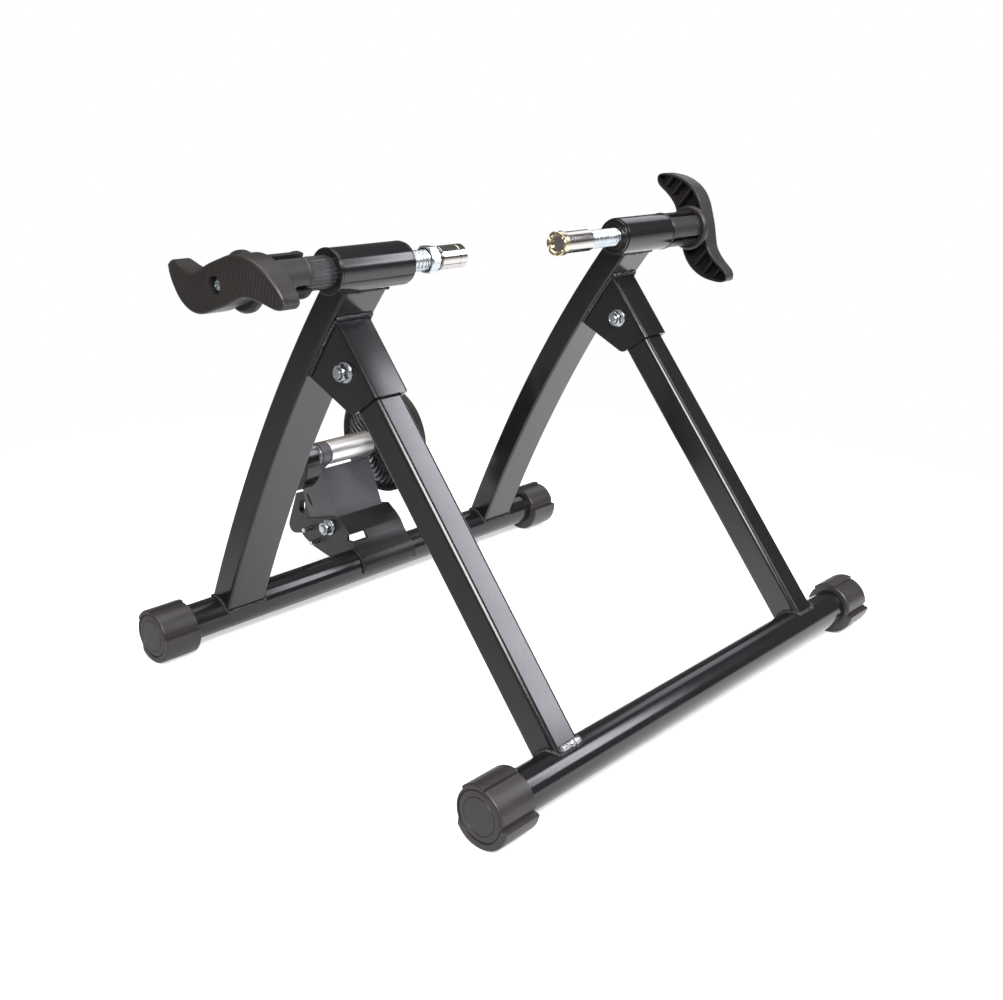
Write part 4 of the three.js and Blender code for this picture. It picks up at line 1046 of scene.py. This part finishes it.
def bead_tree():
    """Node tree of a weld bead: a lumpy round swept along a path, with a ripple every pitch."""
    sizes = dict.fromkeys(("Half width", "Pitch", "Seed"), "Float")
    tree, given = new_tree("weld bead", "Bead", {"Path": "Geometry", **sizes, "Finish": "Material"})
    half_width = given["Half width"]
    line = node(tree, "GeometryNodeMeshToCurve", {"Mesh": given["Path"]})
    step = node(tree, "ShaderNodeMath", {0: given["Pitch"], 1: 7.0}, operation="DIVIDE")
    even = node(tree, "GeometryNodeResampleCurve", {"Curve": line, "Length": step}, mode="LENGTH")
    # The path wanders by less than the bead's half width.
    spot = node(tree, "GeometryNodeInputPosition")
    lumps = node(
        tree,
        "ShaderNodeTexNoise",
        {"Vector": spot, "W": given["Seed"], "Scale": 260.0, "Detail": 2.0},
        noise_dimensions="4D",
    )
    off_middle = node(
        tree,
        "ShaderNodeVectorMath",
        {0: lumps.outputs["Color"], 1: (0.5, 0.5, 0.5)},
        operation="SUBTRACT",
    )
    shake = node(tree, "ShaderNodeMath", {0: half_width, 1: 0.9}, operation="MULTIPLY")
    offset = node(tree, "ShaderNodeVectorMath", {0: off_middle, "Scale": shake}, operation="SCALE")
    wavy = node(tree, "GeometryNodeSetPosition", {"Geometry": even, "Offset": offset})
    # One scallop for each pitch along the bead.
    along = node(tree, "GeometryNodeSplineParameter").outputs["Length"]
    turns = node(tree, "ShaderNodeMath", {0: along, 1: given["Pitch"]}, operation="DIVIDE")
    half_turns = node(tree, "ShaderNodeMath", {0: turns, 1: pi}, operation="MULTIPLY")
    wave = node(tree, "ShaderNodeMath", {0: half_turns}, operation="SINE")
    scallop = node(tree, "ShaderNodeMath", {0: wave}, operation="ABSOLUTE")
    ripple = node(tree, "ShaderNodeMapRange", {"Value": scallop, "To Min": 0.7, "To Max": 1.0})
    lump = {"Value": lumps.outputs["Fac"], "From Min": 0.3, "From Max": 0.7}
    swell = node(tree, "ShaderNodeMapRange", {**lump, "To Min": 0.7, "To Max": 1.15})
    both = node(tree, "ShaderNodeMath", {0: ripple, 1: swell}, operation="MULTIPLY")
    radius = node(tree, "ShaderNodeMath", {0: both, 1: half_width}, operation="MULTIPLY")
    circle = node(tree, "GeometryNodeCurvePrimitiveCircle", {"Resolution": 9, "Radius": 1.0})
    solid = node(
        tree,
        "GeometryNodeCurveToMesh",
        {"Curve": wavy, "Profile Curve": circle, "Scale": radius, "Fill Caps": True},
    )
    return coated(tree, solid, given["Finish"])


def foot_seam(place, x, width, depth, radius):
    """The closed line where a leg's box section meets a tube, from the leg's place function."""
    corners = box_section(width + 0.0012, depth + 0.0012, 0.003)
    path = []
    for (x_a, f_a), (x_b, f_b) in zip(corners, corners[1:] + corners[:1]):
        for k in range(8):
            forward_by = f_a + (f_b - f_a) * k / 8
            back, height = place(sqrt(radius**2 - forward_by**2), forward_by)
            path.append((x + x_a + (x_b - x_a) * k / 8, back, height))
    return path


def rear_face(height):
    """The place on the rear leg's front face at a height."""
    half = rear_leg_depth / 2
    low_share, high_share = 0.0, 1.0
    for _ in range(30):
        share = (low_share + high_share) / 2
        back, up_there, normal = rear_leg_station(share)
        if up_there + normal[1] * half < height:
            low_share = share
        else:
            high_share = share
    return back + normal[0] * half, up_there + normal[1] * half


# The powder coat runs thicker and glossier over the beads.
coated_weld = finish("glossy coat over weld", "1b1b1e", "2c2c30", 0.2, 0.1, 0.18, 0.0016, 0.3)

rear_foot = along_line(rear_axis, Vector(bend_point) - Vector(rear_axis))
rear_top = along_line(head_axis, Vector(bend_point) - Vector(head_axis))
rear_box = (rear_leg_width, rear_leg_depth)
front_box = (front_leg_width, front_leg_width)
foot_radius = tube_radius + 0.0002
ear_place = 0.0186
# Each seam: the bead's half width, its seed, its path, and whether the path is closed.
seams = {"base": [], "front_frame": []}
for number, side in enumerate(("left", "right")):
    x = leg_x[side]
    foot = foot_seam(on_front_leg, x, *front_box, foot_radius)
    seams["front_frame"].append((0.0024, number, foot, True))
    foot = foot_seam(rear_foot, x, *rear_box, foot_radius)
    top_seam = foot_seam(rear_top, x, *rear_box, head_radius + 0.0002)
    seams["base"] += [(0.0019, 2 + number, foot, True), (0.0017, 4 + number, top_seam, True)]
    # The heights between which the bracket touches the leg.
    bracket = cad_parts[f"{side}_fold_bracket"]
    spots = [bracket.matrix_world @ vert.co for vert in bracket.data.vertices]
    touching = [spot.z for spot in spots if abs(spot.y - rear_face(spot.z)[0]) < 0.0012]
    bottom, top = min(touching), max(touching)
    ear = [rear_face(bottom + 0.001 + (top - bottom - 0.001) * k / 24) for k in range(25)]
    for end in (-1, 1):
        path = [(x + end * ear_place, back - 0.0004, height) for back, height in ear]
        seams["base"].append((0.0021, 6 + 2 * number + end, path, False))
    back, height = ear[-1]
    path = [(x + ear_place * (2 * k / 20 - 1), back - 0.001, height + 0.0012) for k in range(21)]
    seams["base"].append((0.0026, 12 + number, path, False))
for number, edge in enumerate(ends("saddle_bracket")):
    angles = [radians(100 + 92 * k / 30) for k in range(31)]
    path = [
        (edge, rear_axis[0] + 0.018 * cos(angle), rear_axis[1] + 0.018 * sin(angle))
        for angle in angles
    ]
    seams["base"].append((0.0013, 14 + number, path, False))

bead = bead_tree()
for body, runs in seams.items():
    shells = []
    for half_width, seed, path, closed in runs:
        count = len(path)
        links = [(i, (i + 1) % count) for i in range(count if closed else count - 1)]
        sizes = {"Half width": half_width, "Pitch": 0.0019, "Seed": float(seed)}
        shells.append(grown(bead, {**sizes, "Finish": coated_weld}, path, links))
    piece(f"{body}_weld.beads", shells, coated_weld, "powder_coat", body, sharp=60)

# A second, fatter run across the front of the left front leg's foot: a painted glint in bright
# metal.
painted_glint_weld = finish("bright weld metal", "8b8c90", "c6c7cb", 0.85, 0.16, 0.3, 0.0016, 0.4)

back, height = on_front_leg(0.0125, 0.0152)
path = [(leg_x["left"] + 0.021 * (k / 24 - 0.5) + 0.002, back, height) for k in range(25)]
sizes = {"Half width": 0.0033, "Pitch": 0.0026, "Seed": 20.0, "Finish": painted_glint_weld}
shell = grown(bead, sizes, path, [(k, k + 1) for k in range(24)])
# The run's bright metal is a painted glint on what is a black coated bead.
piece("front_frame_weld.run", [shell], painted_glint_weld, "bright_steel", "front_frame", sharp=60)

# Resistance arm.
# Pressed channel that tips on its bolt and carries the roller. Its flanges cup the bearings.

# A thinner, greyer coat than the frame's.
arm_coat = finish("grey satin coat", "47474c", "58585e", 0.0, 0.3, 0.38, 0.0018, 0.03)

name = "resistance_arm"
piece(name + ".channel", [dressed(name, 0.0006)], arm_coat, "powder_coat", "arm", name, sharp=50)
arm_axis = middle("arm_nut")
flange_bolt("arm_bolt", arm_axis)
flange_nut("arm_nut", arm_axis)

# Release lever.
# Moulded plastic lever on the arm's bolt, with a slot through its round end.

name = "release_lever"
shell = dressed(name, 0.0009)
piece(name + ".moulding", [shell], plastic, "moulded_plastic", "lever", name, sharp=50)

# Roller, shaft, spacer and flywheel.
# The tyre runs on the bright ground roller. The flywheel sits on the same shaft, behind a nut.

# Bright ground steel with fine lines along the roller.
ground_steel = finish(
    "ground steel", "e3e2df", "fbfaf8", 1.0, 0.26, 0.4, 0.0006, 0.06, stretch=(0.1, 1, 1)
)

roller_axis = middle("roller")
shaft_bore = 0.0053
low, high = ends("roller")
wall = [(low, 0.0129), (high, 0.0129)]
# A groove in each end face.
groove = ((0, 0.0099), (0.003, 0.0095), (0.003, 0.0083), (0, 0.0083))
wall += profile(high, -1, *groove) + [(high, shaft_bore), (low, shaft_bore)]
wall += profile(low, 1, *groove[::-1])
shell = turned(softened(wall, 0.0006, ring=True), roller_axis, ring=True)
piece("roller.steel", [shell], ground_steel, "bright_steel", "rotor", "roller")

name = "roller_shaft"
low, high = ends(name)
rows = [(low, 0), (low, 0.0045), (low + 0.0006, 0.005), (high, 0.005), (high, 0)]
shell = turned(rows, roller_axis, 48)
piece(name + ".steel", [shell], ground_steel, "bright_steel", "rotor", name)

wall = softened(tube(*ends("spacer_tube"), 0.008, shaft_bore), 0.0004, ring=True)
shell = turned(wall, roller_axis, 64, ring=True)
piece("spacer_tube.zinc", [shell], zinc, "zinc_plate", "rotor", "spacer_tube")

low, high = ends("shaft_nut")
rows = hex_rows(high, low, 0.017, both=True)
rows += [(low, 0.0062), (low + 0.0008, shaft_bore), (high, shaft_bore)]
shell = turned(rows, roller_axis, ring=True)
piece("shaft_nut.zinc", [shell], zinc, "zinc_plate", "rotor", "shaft_nut", sharp=30)

low, high = ends("flywheel")
wall = [(low, 0.0304), (high, 0.0304)]
wall += profile(high, -1, (0, 0.013), (0.0006, 0.012), (0.0006, shaft_bore))
wall += profile(
    low, 1, (0.0006, shaft_bore), (0.0006, 0.0172), (0.003, 0.0178), (0.003, 0.0238), (0, 0.0246)
)
shell = turned(softened(wall, 0.0012, ring=True), roller_axis, ring=True)
piece("flywheel.iron", [shell], powder_coat, "powder_coat", "rotor", "flywheel")

# Brake unit.
# Two moulded half shells round the magnets and the spinning disc. The inner one has curved fins.


def fin_tree():
    """Node tree of curved fins set round an axis along X: one fin, repeated and turned."""
    inputs = {"Fin": "Geometry", "Count": "Int", "Finish": "Material"}
    tree, given = new_tree("cooling fins", "Fins", inputs)
    count = given["Count"]
    spots = node(
        tree, "GeometryNodeMeshLine", {"Count": count, "Offset": (0, 0, 0)}, mode="OFFSET"
    )
    index = node(tree, "GeometryNodeInputIndex")
    share = node(tree, "ShaderNodeMath", {0: index, 1: count}, operation="DIVIDE")
    angle = node(tree, "ShaderNodeMath", {0: share, 1: tau}, operation="MULTIPLY")
    turn = node(tree, "ShaderNodeCombineXYZ", {"X": angle})
    ring_of_fins = node(
        tree,
        "GeometryNodeInstanceOnPoints",
        {"Points": spots, "Instance": given["Fin"], "Rotation": turn},
    )
    return coated(tree, ring_of_fins, given["Finish"])


# Darker than the handles, with the same grain.
dark_plastic = finish("dark grained plastic", "161616", "222122", 0.0, 0.4, 0.55, 0.0007, 0.3)

brake_radius = 0.0585
brake_bore = 0.0555
low, rim_end = ends("brake_shell")
face = ends("brake_cover")[0] + 0.0003 - 0.0091
wall = [(rim_end, brake_radius)]
wall += profile(
    face,
    1,
    (0.0005, brake_radius),
    (0, 0.0575),
    (0, 0.0548),
    (0.0022, 0.0540),
    (0.0022, 0.0235),
    (0, 0.0225),
    (0, 0.0175),
)
wall += [(low, 0.0172), (low, 0.0133), (face + 0.003, 0.0133)]
wall += [(face + 0.003, brake_bore), (rim_end, brake_bore)]
shells = [turned(softened(wall, 0.0009, ring=True), roller_axis, 144, ring=True)]
fin_from, fin_to, fin_half = 0.0228, 0.0545, 0.0007
middle_line = [(fin_from + (fin_to - fin_from) * k / 8, 0.55 * (k / 8) ** 2) for k in range(9)]
sides = []
for off in (fin_half, -fin_half):
    sides.append([(r * cos(a) - off * sin(a), r * sin(a) + off * cos(a)) for r, a in middle_line])
outline = sides[1] + sides[0][::-1]
fin = slab(outline, face + 0.0001, face + 0.0024, 0.0003, steps=2)
fins = grown(fin_tree(), {"Count": 36, "Finish": dark_plastic}, fin[0], (), fin[1])
shells.append(carried(fins, roller_axis))
piece("brake_shell.moulding", shells, dark_plastic, "moulded_plastic", "arm", "brake_shell")

low, high = ends("brake_cover")
wall = [(low, brake_radius)]
wall += profile(
    high,
    -1,
    (0.002, brake_radius),
    (0.0004, 0.0570),
    (0, 0.0545),
    (0, 0.031),
    (0.0012, 0.030),
    (0.0012, 0.018),
    (0, 0.017),
    (0, 0),
    (0.003, 0),
    (0.003, brake_bore),
)
wall += [(low, brake_bore), (low, brake_radius)]
shell = turned(softened(wall, 0.0009), roller_axis, 144)
piece("brake_cover.moulding", [shell], dark_plastic, "moulded_plastic", "arm", "brake_cover")

# Inner pieces that keep their CAD shapes.
# Bushes in the front legs, bearings, and the magnets, carrier and disc inside the brake.

# Machined aluminium with turned rings.
turned_aluminium = finish(
    "turned aluminium", "a5a7a9", "c3c5c7", 1.0, 0.25, 0.4, 0.0005, 0.1, stretch=(1, 0.2, 0.2)
)
# Nickel plate with a warm cast.
nickel = finish("nickel plate", "98968f", "b9b7b0", 1.0, 0.15, 0.28, 0.0008, 0.06)

inner = {
    "left_fold_bush": zinc,
    "right_fold_bush": zinc,
    "left_bearing": ground_steel,
    "right_bearing": ground_steel,
    "rotor_disc": turned_aluminium,
    "magnet_carrier": zinc,
}
inner.update({f"magnet_{i}": nickel for i in range(1, 7)})
for name, material in inner.items():
    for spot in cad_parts[name].material_slots:
        spot.material = material
